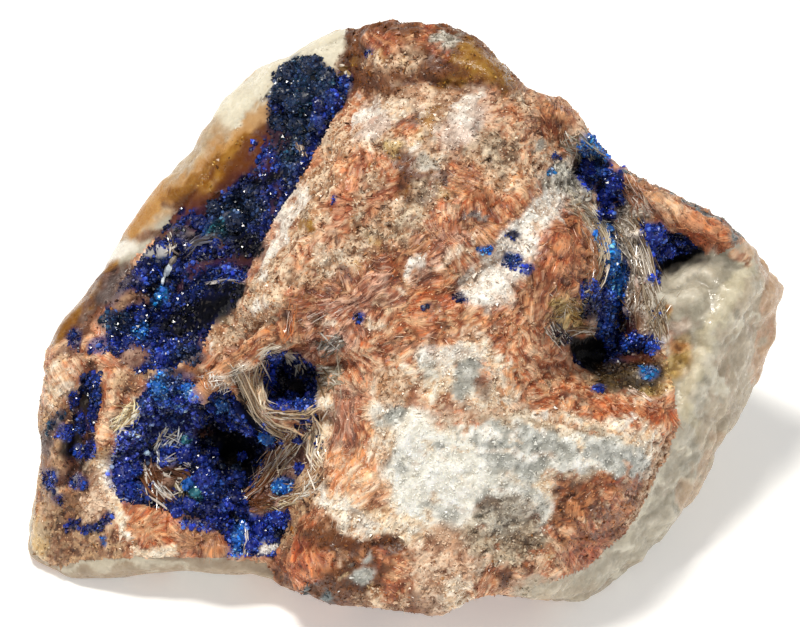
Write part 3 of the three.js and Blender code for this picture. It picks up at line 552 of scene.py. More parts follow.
MATRIX_MARKS: tuple[Mark, ...] = (
    *WALL_MARKS,
    Field("porous tan", Look.TAN, ((350, 92), (420, 82), (500, 82), (540, 100), (552, 150), (520, 195),
          (470, 190), (430, 215), (380, 262), (320, 300), (262, 332), (205, 350), (235, 285), (300, 180))),
    Field("brown cap", Look.RUST, ((340, 20), (470, 16), (522, 85), (470, 96), (420, 80), (380, 98),
          (340, 98))),
    *strewn("hump", (Look.CREAM, Look.ASH, Look.APRICOT, Look.WHITE, Look.RUST, Look.SALMON, Look.GOLD,
                     Look.ORANGE), ((530, 110), (440, 150), (350, 230), (250, 320)), 48, 120),
    *strewn("upper right", (Look.RED_BROWN, Look.BEIGE, Look.SALMON, Look.ASH),
            ((470, 100), (550, 110), (590, 140)), 18, 26),
    *strewn("cap", (Look.RED_ORANGE, Look.TAN, Look.DARK_RUST, Look.AMBER, Look.ORANGE),
            ((350, 56), (420, 50), (500, 76)), 18, 34),
    Patch("tan crest", Look.TAN, (398, 62), (22, 16), 20, 0.7),
    Patch("grey spot of the cap", Look.SUGAR, (446, 42), (13, 7), 0, 0.9),
    Patch("dark rust of the cap", Look.DARK_RUST, (446, 64), (26, 8), -10, 0.8),
    Patch("rust left of the cap", Look.RED_ORANGE, (388, 42), (16, 12), 0, 0.5),
    Patch("amber lump", Look.AMBER, (486, 66), (30, 15), -28),
    Patch("amber under the lump", Look.AMBER, (448, 84), (20, 8), 10, 0.7),
    Patch("tan pinkish crest", Look.BEIGE, (430, 100), (60, 12), 4, 0.6),
    Streak("left red streak", Look.RED_ORANGE, ((332, 232), (348, 200), (362, 165)), 8, 0.9),
    Streak("middle red streak", Look.RED_ORANGE, ((372, 212), (392, 182), (405, 165)), 9, 0.8),
    Streak("low red streak", Look.SALMON, ((300, 262), (330, 240), (352, 226)), 9, 0.8),
    Patch("rust of the pits", Look.RUST, (412, 172), (22, 26), 30, 0.7),
    Patch("salmon shoulder", Look.SALMON, (355, 110), (18, 20), 40, 0.7),
    Patch("left sheen", Look.LILAC, (374, 126), (11, 24), -35),
    Patch("right sheen", Look.LILAC, (468, 124), (20, 36), -38),
    Patch("small sheen", Look.LILAC, (432, 188), (10, 18), -20, 0.7),
    Patch("salmon beside the sheen", Look.SALMON, (512, 130), (22, 40), 30, 0.8),
    Streak("orange arc", Look.ORANGE, ((458, 172), (474, 200), (505, 216), (548, 200)), 14),
    Streak("shade of the arc", Look.RED_BROWN, ((464, 176), (484, 206), (512, 218), (546, 206)), 11, 0.6),
    Patch("dusty red", Look.RED_BROWN, (553, 116), (25, 23), -20),
    Patch("pinkish grey corner", Look.BEIGE, (584, 132), (13, 22), 30, 0.8),
    Patch("sugary patch", Look.SUGAR, (566, 184), (28, 29), 0),
    Streak("red brown slope", Look.RED_BROWN, ((300, 318), (350, 290), (420, 262), (476, 232)), 22),
    Streak("salmon over the slope", Look.SALMON, ((380, 330), (430, 305), (470, 290)), 22, 0.8),
    Field("red fan", Look.MAUVE, ((299, 318), (330, 297), (378, 294), (374, 322), (352, 352), (312, 361))),
    Field("fibrous dome", Look.RED_BROWN, ((520, 215), (560, 203), (594, 214), (606, 270), (596, 325),
          (556, 335), (528, 300), (514, 252))),
    Patch("orange crown of the dome", Look.RED_ORANGE, (560, 250), (26, 34), 20, 0.6),
    Streak("dome fringe", Look.GREY_CREAM, ((590, 210), (604, 245), (606, 300), (594, 332)), 8),
    Patch("olive fibres", Look.OLIVE, (566, 316), (15, 14), 0, 0.8),
    Field("orange shelf", Look.ORANGE, ((400, 290), (470, 290), (520, 305), (556, 345), (570, 385),
          (600, 394), (680, 412), (664, 432), (600, 432), (540, 402), (486, 350), (430, 350), (396, 345)),
          0.9),
    *strewn("slope", (Look.SALMON, Look.MAUVE, Look.RED_ORANGE, Look.CREAM, Look.RUST),
            ((300, 330), (400, 290), (500, 250)), 24, 40),
    *strewn("shelf", (Look.RED_ORANGE, Look.APRICOT, Look.SALMON, Look.MAUVE, Look.CREAM, Look.RUST),
            ((420, 320), (500, 330), (560, 380), (660, 415)), 22, 56),
    Patch("salmon of the shelf", Look.SALMON, (520, 350), (34, 22), -30, 0.6),
    Patch("red ledge", Look.RED_ORANGE, (602, 412), (18, 13), 0, 0.9),
    Patch("red ledge end", Look.RED_ORANGE, (662, 414), (18, 13), -15, 0.9),
    Streak("white seam", Look.WHITE, ((548, 208), (528, 232), (508, 262), (480, 290)), 15),
    Patch("white seam foot", Look.WHITE, (490, 290), (28, 13), 12, 0.8),
    Streak("thin white seam", Look.CREAM, ((470, 250), (440, 262), (412, 275)), 5, 0.7),
    Streak("spur", Look.RED_BROWN, ((302, 322), (262, 345), (232, 362), (210, 382), (190, 404)), 12),
    Streak("comb", Look.CREAM, ((268, 356), (240, 372), (218, 388)), 6, 0.8),
    Streak("pale edge of the cliff", Look.WHITE, ((262, 268), (272, 246), (288, 214), (304, 196)), 9, 0.85),
    Streak("salmon lip of the cliff", Look.SALMON, ((244, 276), (260, 250), (276, 226)), 6, 0.8),
    Patch("salmon lens of the cliff", Look.SALMON, (316, 152), (10, 20), -20, 0.95),
    Patch("ochre grain", Look.AMBER, (314, 226), (8, 10), -30, 1.0, 0.15),
    Patch("white crystals", Look.WHITE, (362, 114), (7, 14), -35, 0.9),
    Patch("second white crystals", Look.WHITE, (377, 108), (9, 7), 0, 0.8),
    Patch("cream lump", Look.CREAM, (398, 110), (11, 11), 0, 0.8),
    Patch("white of the right sheen", Look.WHITE, (462, 112), (10, 14), -38, 0.7),
    Patch("second white of the sheen", Look.WHITE, (478, 102), (9, 6), 0, 0.7),
    Patch("orange grain", Look.ORANGE, (404, 128), (13, 10), -40, 0.95),
    Patch("amber beside the grain", Look.AMBER, (430, 122), (12, 8), -60, 0.8),
    Patch("yellow grains", Look.YELLOW, (392, 146), (9, 5), 0, 0.8),
    Patch("dark crumbs of the grain", Look.CHOCOLATE, (411, 118), (6, 8), 0, 0.7),
    Patch("cavity of the hump", Look.DARK_RUST, (408, 180), (11, 8), 20, 0.95),
    Patch("amber of the cavity", Look.AMBER, (404, 186), (6, 4), 0, 0.8),
    Streak("crack of the hump", Look.CHOCOLATE, ((401, 168), (414, 172), (422, 186)), 3, 0.9),
    Streak("second crack", Look.CHOCOLATE, ((434, 164), (446, 168), (446, 182)), 3, 0.9),
    Patch("grey crystals", Look.SUGAR, (427, 160), (12, 10), 0, 0.8),
    Patch("amber by the arc", Look.AMBER, (436, 188), (6, 9), 0, 0.8),
    Streak("grey crumbs of the hump", Look.ASH, ((424, 190), (412, 214), (400, 240)), 11, 0.7),
    Patch("brown grains", Look.ASH, (502, 150), (22, 18), -30, 0.8),
    Patch("dark grains of the seam", Look.SLATE, (478, 216), (12, 4), 20, 0.7),
    Patch("orange of the left hump", Look.ORANGE, (346, 172), (11, 18), 40, 0.8),
    Patch("orange of the middle hump", Look.ORANGE, (388, 172), (9, 18), 30, 0.7),
    Patch("cream crystals", Look.CREAM, (334, 258), (16, 12), 0, 0.7),
    Patch("first pit", Look.CHOCOLATE, (330, 236), (4, 4), 0, 0.8),
    Patch("second pit", Look.CHOCOLATE, (342, 268), (6, 5), 0, 0.8),
    Patch("third pit", Look.CHOCOLATE, (388, 214), (5, 4), 0, 0.8),
    Patch("fourth pit", Look.CHOCOLATE, (380, 244), (4, 6), 0, 0.8),
    Patch("fifth pit", Look.DARK_RUST, (400, 176), (9, 7), 20, 0.9),
    Patch("sixth pit", Look.DARK_RUST, (412, 160), (8, 6), 0, 0.8),
    Patch("mauve hump", Look.MAUVE, (372, 282), (17, 12), 30, 0.9),
    Streak("mauve slope", Look.MAUVE, ((420, 270), (446, 244), (462, 236)), 9, 0.8),
    Streak("white glint of the slope", Look.WHITE, ((410, 268), (424, 258)), 4, 0.9),
    Patch("mauve patch", Look.MAUVE, (346, 418), (19, 34), -10),
    Patch("orange right of the patch", Look.ORANGE, (372, 430), (14, 26), 10, 0.9),
    Patch("bright orange patch", Look.ORANGE, (350, 482), (34, 30), 30),
    Patch("salmon left of the lens", Look.SALMON, (385, 360), (30, 26), 0, 0.8),
    Field("cream round the lens", Look.CREAM, ((372, 392), (420, 352), (470, 332), (510, 360), (512, 410),
          (560, 412), (650, 430), (668, 452), (650, 480), (600, 474), (560, 500), (540, 540), (480, 570),
          (430, 560), (392, 520), (368, 470)), 0.9),
    *strewn("cream", (Look.APRICOT, Look.ASH, Look.WHITE, Look.ORANGE, Look.TAN, Look.RUST),
            ((385, 400), (440, 345), (500, 380), (620, 425)), 20, 50),
    *LENS_MARKS,
    Patch("grey spot", Look.HAZE, (388, 412), (13, 17), -20),
    Patch("tan pit field", Look.TAN, (398, 388), (22, 13), 20, 0.9),
    Patch("pale orange", Look.APRICOT, (352, 482), (36, 30), 30, 0.8),
    Streak("cream fringe", Look.CREAM, ((300, 474), (326, 500), (360, 522), (404, 532)), 13),
    Streak("cream rail", Look.CREAM, ((322, 384), (330, 420), (322, 456)), 7),
    Streak("white of the fringe", Look.WHITE, ((308, 482), (334, 506), (372, 524)), 5, 0.7),
    Field("brown foot", Look.RUST, ((279, 536), (330, 520), (400, 545), (452, 560), (470, 600), (430, 626),
          (380, 616), (300, 606), (270, 590))),
    *strewn("foot", (Look.RED_ORANGE, Look.TAN, Look.DARK_RUST, Look.OCHRE, Look.RUST, Look.BRICK),
            ((300, 566), (380, 580), (460, 580), (540, 560)), 26, 70),
    Patch("dark orange foot", Look.RED_ORANGE, (304, 562), (24, 23)),
    Patch("slate spot", Look.SLATE, (303, 587), (9, 4)),
    Patch("second slate spot", Look.SLATE, (328, 601), (9, 5)),
    Patch("quartz eye", Look.HAZE, (364, 568), (11, 9)),
    Patch("cream by the eye", Look.TAN, (380, 600), (24, 12)),
    Patch("orange tongue", Look.ORANGE, (404, 572), (15, 20)),
    Patch("tan grains", Look.BEIGE, (440, 570), (30, 44)),
    Patch("cream foot", Look.CREAM, (456, 596), (18, 16), 0, 0.8),
    Patch("lower grey", Look.ASH, (506, 536), (42, 34), 0),
    Patch("grey of the lower tan", Look.SUGAR, (500, 520), (26, 14), 10, 0.6),
    Patch("dark rust spot", Look.DARK_RUST, (503, 577), (9, 13)),
    Field("rust patch", Look.BRICK, ((548, 484), (600, 474), (642, 480), (640, 522), (600, 545),
          (560, 548))),
    *strewn("rust", (Look.SALMON, Look.RED_ORANGE, Look.BRICK, Look.ORANGE, Look.TAN, Look.DARK_RUST),
            ((565, 535), (600, 500), (640, 490)), 24, 40),
    Patch("lower rust", Look.RED_ORANGE, (584, 556), (18, 14)),
    Streak("tan edge", Look.TAN, ((660, 445), (652, 490), (636, 540)), 9, 0.8),
    Patch("cream lumps", Look.FLANK, (548, 590), (34, 13)),
    Patch("salmon rim", Look.SALMON, (56, 374), (22, 32)),
    Patch("cream rim", Look.CREAM, (66, 402), (13, 16), 0, 0.7),
    Field("mottled corner", Look.MOTTLED, ((20, 400), (70, 400), (92, 430), (114, 450), (112, 482),
          (100, 524), (130, 560), (40, 585), (10, 560))),
    *strewn("corner", (Look.CREAM, Look.CHOCOLATE, Look.SALMON, Look.ASH, Look.BROWN),
            ((84, 360), (66, 430), (76, 530)), 30, 44),
    Streak("groove", Look.CHOCOLATE, ((97, 372), (90, 410), (82, 448), (70, 472)), 10),
    Streak("salmon ridge", Look.SALMON, ((108, 368), (108, 432)), 9),
    Patch("gold spot", Look.GOLD, (40, 532), (11, 25), -8),
    Patch("peach lump", Look.BEIGE, (96, 502), (15, 30), -10, 0.9),
    Patch("orange dome", Look.ORANGE, (148, 530), (30, 27)),
    Streak("cream rim of the dome", Look.CREAM, ((118, 500), (120, 530), (138, 556), (170, 552)), 6),
    Patch("orange shelf below", Look.RED_BROWN, (206, 545), (27, 17)),
    Patch("beige mound", Look.MOTTLED, (152, 362), (21, 17)),
    Streak("cream rim of the hollow", Look.CREAM, ((132, 410), (118, 440), (108, 478), (112, 508)), 7),
    Streak("right wall of the hollow", Look.MOTTLED, ((318, 470), (300, 500), (282, 540)), 12),
    Field("ridge rock", Look.RED_BROWN, ((598, 146), (640, 176), (690, 200), (748, 236), (742, 262),
          (700, 250), (676, 226), (650, 212), (618, 178))),
    Streak("pale strands of the ridge", Look.BEIGE, ((636, 190), (672, 212), (712, 232)), 5, 0.6),
    Patch("salmon of the ridge", Look.SALMON, (668, 206), (24, 8), -28, 0.7),
    Patch("orange end of the ridge", Look.RED_ORANGE, (704, 234), (26, 14), -24, 0.9),
    Streak("slate edge of the ridge", Look.SLATE, ((612, 150), (650, 180), (688, 199), (726, 220),
           (750, 242)), 3),
    Streak("fibrous band", Look.GREY_CREAM, ((632, 200), (642, 240), (650, 290), (662, 332)), 14),
    # Painted shade in the cavity under the dome's edge.
    Patch("shade in the cavity under the dome", Look.CHOCOLATE, (588, 354), (17, 16)),
    Patch("ochre floor", Look.OCHRE, (626, 377), (36, 13)),
    Patch("ochre corner", Look.OCHRE, (676, 358), (13, 18)),
)

QUARTZ_MARKS: tuple[Mark, ...] = (
    *WALL_MARKS,
    Field("flank", Look.FLANK, ((758, 262), (736, 300), (722, 340), (704, 400), (688, 440), (660, 480),
          (640, 530), (600, 570), (530, 600), (530, 640), (800, 640), (800, 260)), 0.9, 5),
    Field("lower facet", Look.QUARTZ, ((670, 400), (690, 428), (698, 466), (672, 520), (630, 568),
          (570, 604), (540, 590), (600, 550), (640, 490)), 0.9, 5),
    Streak("pale edge of the lower facet", Look.PALE, ((672, 404), (664, 450), (650, 500), (620, 548)), 5,
           0.6),
    Field("top facet", Look.GREY, ((654, 262), (700, 240), (740, 246), (738, 280), (718, 318), (690, 348),
          (664, 346), (650, 300)), 0.95, 4),
    *strewn("flank", (Look.PALE, Look.QUARTZ, Look.FLANK, Look.GREY),
            ((730, 290), (700, 400), (670, 500), (600, 580)), 26, 40),
    # Painted light on the bright side of the top facet.
    Patch("bright side of the facet", Look.QUARTZ, (714, 304), (11, 28), 20, 0.7),
    Patch("lilac of the lower facet", Look.LILAC, (680, 330), (18, 9), 24, 0.6),
    Patch("cloud in the facet", Look.PALE, (684, 274), (14, 9), 20, 0.35),
    Patch("second cloud", Look.PALE, (706, 262), (10, 6), -20, 0.3),
    Streak("cream crest", Look.CREST, ((750, 244), (740, 278), (722, 316), (708, 336), (694, 362),
           (684, 394), (692, 426)), 7, 0.6),
    Patch("white cloud of the flank", Look.PALE, (712, 384), (10, 16), 30, 0.8),
    Patch("lower cream lump", Look.FLANK, (560, 590), (40, 16), 0, 0.6),
    Streak("peach rim", Look.PEACH, ((752, 240), (768, 264), (776, 290), (772, 330), (764, 372)), 12, 0.95),
    Streak("peach of the lower edge", Look.PEACH, ((716, 440), (700, 480), (676, 516)), 7, 0.5),
    Patch("pink stain", Look.SALMON, (736, 256), (13, 9), -30, 0.9),
    Field("bottom strip", Look.STRIP, ((10, 548), (290, 552), (290, 600), (10, 600)), 0.9),
    Streak("pale line of the strip", Look.PALE, ((60, 566), (120, 562), (180, 564)), 4, 0.6),
)

BLUE_MARKS: tuple[Mark, ...] = (
    *WALL_MARKS,
    *strewn("vug", (Look.DARK_NAVY_AND_SHADE, Look.ROYAL, Look.SLATE_NAVY, Look.NAVY, Look.INDIGO),
            ((120, 480), (160, 400), (200, 470), (200, 530), (270, 530)), 28, 80),
    *strewn("valley", (Look.DARK_NAVY_AND_SHADE, Look.ROYAL, Look.SLATE_NAVY, Look.NAVY, Look.CHOCOLATE),
            ((300, 80), (270, 180), (220, 230), (180, 280), (180, 350)), 30, 90),
    *strewn("cleft", (Look.DARK_NAVY_AND_SHADE, Look.ROYAL, Look.AZURE, Look.NAVY),
            ((600, 170), (612, 260), (610, 350)), 16, 34),
)

CRUST_MARKS: tuple[Mark, ...] = (
    Field("navy lump", Look.SLATE_NAVY, ((272, 96), (276, 76), (296, 58), (316, 58), (330, 72), (350, 76),
          (350, 100), (326, 118), (306, 150), (292, 190), (268, 130))),
    Streak("violet edge of the lump", Look.ROYAL, ((344, 78), (338, 102), (322, 116)), 7, 0.9),
    # Painted shade under the lump and at the foot of the cliff.
    Patch("shade under the lump", Look.DARK_NAVY_AND_SHADE, (262, 184), (26, 9), 20),
    Patch("slate of the valley", Look.SLATE_NAVY, (236, 214), (34, 22), 30, 0.9),
    Patch("shade at the foot of the cliff", Look.DARK_NAVY_AND_SHADE, (250, 246), (18, 14), 45),
    Patch("teal of the valley", Look.TEAL, (216, 232), (14, 8), 30, 0.5),
    Streak("wisp", Look.WISP, ((176, 232), (196, 240), (216, 238)), 5, 0.8),
    Streak("red band of the valley", Look.DARK_RUST, ((198, 268), (224, 264), (246, 262)), 6, 0.6),
    Streak("second red band", Look.DARK_RUST, ((214, 196), (200, 216)), 6, 0.7),
    # Painted shade in the low valley.
    Streak("dark line of the valley", Look.DARK_NAVY_AND_SHADE, ((214, 286), (240, 284), (230, 300), (206, 320)), 8),
    Patch("royal of the valley", Look.ROYAL, (228, 274), (20, 8), 0, 0.9),
    Patch("shade of the low valley", Look.DARK_NAVY_AND_SHADE, (190, 318), (36, 16), 20),
    Patch("black of the low valley", Look.PAINTED_SHADOW, (216, 306), (18, 12), 40, 0.8),
    Patch("dark left of the blade", Look.DARK_NAVY_AND_SHADE, (156, 276), (7, 20), -20, 0.8),
    Patch("chocolate of the valley", Look.CHOCOLATE, (122, 300), (16, 8), 20, 0.8),
    # Painted highlight and painted reflections on the glossy crystal of the valley's rim.
    Patch("highlight on the glossy crystal", Look.WHITE_HIGHLIGHT, (122, 252), (20, 7), 30, 0.95),
    Patch("brown reflection", Look.BROWN, (154, 236), (18, 5), 8, 0.9),
    Patch("cream reflection", Look.WHITE_HIGHLIGHT, (156, 251), (14, 5), 0, 0.7),
    # Painted shade under the white crystal.
    Patch("shade under the white crystal", Look.CHOCOLATE, (120, 272), (20, 6), 30, 0.8),
    Patch("red of the upper valley", Look.DARK_RUST, (276, 140), (14, 12), 0, 0.5),
    Patch("red of the middle valley", Look.DARK_RUST, (262, 168), (16, 8), 30, 0.5),
    Streak("brown left of the valley", Look.WISP, ((104, 296), (122, 282), (146, 272)), 9, 0.8),
    Streak("second brown arc", Look.MOTTLED, ((108, 318), (126, 300), (146, 300)), 6, 0.7),
    Patch("blue of the left arc", Look.ROYAL, (150, 272), (16, 9), 30, 0.7),
    Patch("bright tip", Look.AZURE, (162, 296), (6, 13), -25),
    Patch("slate left foot", Look.SLATE_NAVY, (116, 322), (18, 11), 0, 0.9),
    Patch("light ball", Look.AZURE, (140, 333), (8, 8)),
    Patch("royal ball", Look.ROYAL, (161, 358), (10, 10)),
    Patch("mound", Look.MOTTLED, (134, 358), (16, 9), 10, 0.8),
    Patch("mound foot", Look.MOTTLED, (126, 384), (12, 14), 0, 0.8),
    Patch("slate under the mound", Look.SLATE_NAVY, (190, 356), (16, 8), 0, 0.8),
    Patch("rust beside the tip", Look.RUST, (192, 370), (10, 6), 0, 0.9),
    # The vug's left slope, lightened as painted light where it faces the light.
    Field("royal of the vug", Look.INDIGO, ((118, 430), (140, 405), (150, 380), (190, 376), (200, 402),
          (188, 440), (160, 470), (128, 500), (110, 486), (112, 450)), 0.85, 8),
    Patch("azure of the vug top", Look.AZURE, (158, 384), (9, 15), -20, 0.9),
    Patch("second azure", Look.AZURE, (180, 392), (16, 8), 10, 0.7),
    Patch("slate top of the vug", Look.SLATE_NAVY, (172, 376), (13, 8), 0, 0.7),
    Patch("pale ball place", Look.AZURE, (224, 404), (9, 7), 0, 0.6),
    # Painted shade in the vug's deep hole and its slit.
    Field("dark hole", Look.DARK_NAVY_AND_SHADE, ((190, 424), (214, 414), (240, 424), (264, 440), (262, 458), (250, 482),
          (226, 496), (212, 470), (214, 448)), 0.9, 6),
    Field("black hole", Look.PAINTED_SHADOW, ((214, 424), (240, 430), (258, 446), (248, 474), (228, 484),
          (220, 462)), 0.9, 5),
    Streak("black slit", Look.PAINTED_SHADOW, ((236, 372), (246, 400), (258, 424), (266, 444)), 5, 0.95),
    Patch("navy round the hole", Look.NAVY, (226, 484), (16, 14), 0, 0.7),
    Patch("brown in the hole", Look.CHOCOLATE, (196, 428), (12, 7), -30, 0.4),
    Patch("brown sheet", Look.BROWN, (166, 478), (19, 12), -20, 0.95),
    # Painted shade behind the blade.
    Patch("black behind the blade", Look.PAINTED_SHADOW, (146, 484), (5, 13), 10, 0.9),
    Patch("grey ball place", Look.WISP, (182, 490), (6, 9), 0, 0.9),
    Patch("teal place", Look.TEAL, (195, 492), (8, 8)),
    Patch("low dark navy", Look.DARK_NAVY_AND_SHADE, (196, 514), (26, 8), -10, 0.7),
    Streak("low royal", Look.ROYAL, ((184, 524), (214, 524), (232, 500)), 6, 0.9),
    Field("lower right mixture", Look.MOTTLED, ((262, 470), (290, 430), (318, 420), (326, 470), (300, 510),
          (262, 520), (244, 510)), 0.75, 6),
    Patch("azure knob", Look.AZURE, (284, 486), (10, 8), 0, 0.7),
    Patch("royal knob", Look.ROYAL, (278, 518), (12, 6), 0, 0.9),
    Field("blue columns", Look.ROYAL, ((228, 556), (232, 520), (276, 520), (276, 556)), 0.8),
    Streak("azure column", Look.AZURE, ((240, 526), (238, 552)), 5, 0.8),
    Streak("white grains of the tongue", Look.WHITE, ((262, 552), (276, 548)), 4, 0.9),
    Field("pocket dark", Look.NAVY, ((258, 364), (268, 348), (302, 350), (320, 374), (318, 408),
          (268, 414)), 0.95, 4),
    # Painted shade in the pocket.
    Patch("pocket black", Look.PAINTED_SHADOW, (298, 386), (11, 9), -30, 0.95),
    Patch("pocket blue left", Look.ROYAL, (270, 384), (7, 16), 0, 0.9),
    Patch("pocket royal", Look.ROYAL, (280, 362), (15, 9), 0, 0.9),
    Patch("pocket royal low", Look.ROYAL, (292, 404), (16, 6), 0, 0.8),
    Patch("pocket right royal", Look.ROYAL, (306, 362), (7, 6), 0, 0.8),
    Field("azurite on the upper edge", Look.ROYAL, ((572, 176), (580, 152), (588, 136), (606, 150),
          (612, 168), (596, 182), (584, 190))),
    Patch("azure on the upper edge", Look.AZURE, (592, 154), (11, 19), 20, 0.85),
    Field("azurite below the edge", Look.ROYAL, ((592, 190), (604, 174), (622, 168), (626, 186), (630, 208),
          (622, 224), (604, 220))),
    # Painted shade in the cleft under the dome's fringe.
    Patch("dark of the cleft", Look.PAINTED_SHADOW, (610, 232), (10, 14), 0, 0.95),
    Patch("shade of the cleft", Look.DARK_NAVY_AND_SHADE, (606, 222), (8, 8), 0, 0.8),
    Streak("azure stripe", Look.AZURE, ((604, 238), (616, 262), (618, 290), (612, 308)), 11),
    Streak("blue below the stripe", Look.ROYAL, ((590, 292), (604, 300), (612, 322), (606, 346)), 12, 0.9),
    Patch("dark of the stripe", Look.DARK_NAVY_AND_SHADE, (590, 308), (13, 13), 0, 0.85),
    Streak("fibrous rock of the band", Look.MATTED, ((628, 212), (636, 240), (644, 268), (640, 296),
           (652, 316), (660, 336)), 13, 0.95),
    Patch("shade in the band", Look.WISP, (622, 244), (7, 16), 10, 0.8),
    Patch("rust in the band", Look.RUST, (634, 322), (12, 10), 60, 0.8),
    Field("royal of the notch", Look.ROYAL, ((638, 222), (662, 222), (676, 240), (676, 254), (664, 262),
          (656, 284), (648, 280), (650, 258)), 0.95, 4),
    # Painted shadow in the gap under the ridge.
    Streak("black gap", Look.PAINTED_SHADOW, ((660, 268), (672, 262), (686, 258), (698, 250)), 6, 0.98),
    Streak("low royal band", Look.ROYAL, ((586, 352), (616, 346), (652, 342)), 10, 0.9),
    # Painted shadow in the cavity beside the dome.
    Field("black of the cavity", Look.PAINTED_SHADOW, ((560, 336), (600, 334), (608, 352), (604, 374), (586, 374),
          (572, 358)), 1.0, 3),
    Field("quartz corner", Look.QUARTZ, ((652, 292), (662, 272), (684, 264), (712, 248), (726, 262),
          (700, 304), (656, 308)), 1.0, 3),
    Patch("yellow edge", Look.YELLOW, (678, 360), (12, 24), -20, 0.95),
    Patch("upper yellow edge", Look.YELLOW, (666, 312), (6, 8), 0, 0.9),
    Patch("dark spot of the edge", Look.RUST, (678, 348), (4, 3), 0, 0.8),
    # Painted shade in the cavity.
    Patch("shade of the cavity", Look.DARK_NAVY_AND_SHADE, (612, 352), (18, 10), 0, 0.7),
    # The cavity's ochre floor, darkened as painted shade.
    Field("ochre floor", Look.SHADED_OCHRE, ((592, 372), (610, 362), (640, 358), (660, 354), (668, 372),
          (656, 392), (640, 396), (600, 392)), 0.95),
    Patch("cream of the floor", Look.YELLOW, (656, 390), (18, 5), 10, 0.7),
    Patch("dark of the floor", Look.DARK_RUST, (640, 358), (18, 5), 0, 0.8),
    Patch("azure of the floor", Look.AZURE, (650, 372), (9, 7), 0, 0.75),
    Patch("royal of the floor", Look.ROYAL, (600, 388), (7, 4), 0, 0.9),
    Patch("blue beside the band", Look.ROYAL, (656, 313), (4, 5), 0, 0.9),
    Patch("black blades beside the dome", Look.DARK_NAVY_AND_SHADE, (560, 336), (12, 8), -40, 0.7),
    Patch("groove top blue", Look.NAVY, (86, 382), (9, 7), 0, 0.9),
    Patch("groove middle blue", Look.ROYAL, (72, 400), (6, 10), 10, 0.7),
    # Painted shade in the groove.
    Patch("groove dark", Look.PAINTED_SHADOW, (84, 400), (7, 13), 10, 0.8),
    Streak("groove black", Look.PAINTED_SHADOW, ((74, 432), (66, 452)), 9, 0.9),
    Patch("groove blue left", Look.ROYAL, (66, 432), (8, 9), 0, 0.8),
    Patch("groove blue right", Look.ROYAL, (82, 424), (6, 13), 10, 0.7),
    Patch("blue under the groove", Look.ROYAL, (76, 452), (8, 6), 0, 0.8),
    Streak("slate rim of the groove", Look.SLATE_NAVY, ((62, 414), (50, 432), (44, 450)), 5, 0.7),
    Patch("blue spot", Look.ROYAL, (92, 448), (6, 9), -30, 0.8),
    Patch("second blue spot", Look.ROYAL, (80, 482), (8, 8), 0, 0.8),
    Patch("third blue spot", Look.NAVY, (56, 498), (7, 6), 0, 0.8),
    Patch("fourth blue spot", Look.NAVY, (74, 524), (8, 5), 20, 0.8),
    Patch("light speck", Look.AZURE, (103, 543), (5, 5), 0, 0.8),
    Streak("brown edge of the corner", Look.BROWN, ((46, 440), (50, 480), (46, 530), (60, 556)), 8, 0.5),
    Patch("brown of the corner", Look.DARK_RUST, (72, 505), (10, 14), 20, 0.4),
    Patch("navy of the corner", Look.NAVY, (50, 480), (9, 12), 0, 0.6),
    Streak("navy at the peach lump", Look.NAVY, ((84, 530), (100, 528), (110, 516)), 4, 0.9),
    Patch("navy above the groove", Look.ROYAL, (104, 344), (14, 8), 20, 0.7),
    Patch("blue by the amber rim", Look.NAVY, (74, 340), (7, 12), 0, 0.7),
    Patch("seam speck", Look.NAVY, (514, 236), (7, 5), 0, 0.9),
    Patch("second seam speck", Look.AZURE, (485, 249), (8, 5), 20, 0.8),
    Patch("third seam speck", Look.ROYAL, (512, 260), (10, 8), 0, 0.95),
    Patch("fourth seam speck", Look.AZURE, (508, 256), (5, 4), 0, 0.8),
    Patch("fifth seam speck", Look.ROYAL, (526, 268), (7, 5), 0, 0.8),
    Patch("sixth seam speck", Look.NAVY, (461, 297), (6, 5), 0, 0.9),
    Patch("slope speck", Look.NAVY, (425, 306), (5, 3), 0, 0.9),
    Patch("speck of the fan", Look.ROYAL, (359, 317), (7, 6), 20, 1.0),
    Patch("speck of the cliff", Look.NAVY, (338, 202), (2, 5), 0, 0.9),
    Patch("edge speck", Look.SLATE, (541, 146), (5, 6), 0, 0.7),
    Patch("second edge speck", Look.NAVY, (553, 158), (5, 4), 0, 0.6),
    Patch("third edge speck", Look.AZURE, (547, 172), (4, 4), 0, 0.7),
    Patch("sheen speck", Look.SLATE, (476, 128), (8, 9), 0, 0.35),
    Patch("cap speck", Look.NAVY, (372, 50), (6, 4), 0, 0.6),
    Patch("ridge speck", Look.SLATE, (734, 238), (7, 4), -30, 0.5),
)


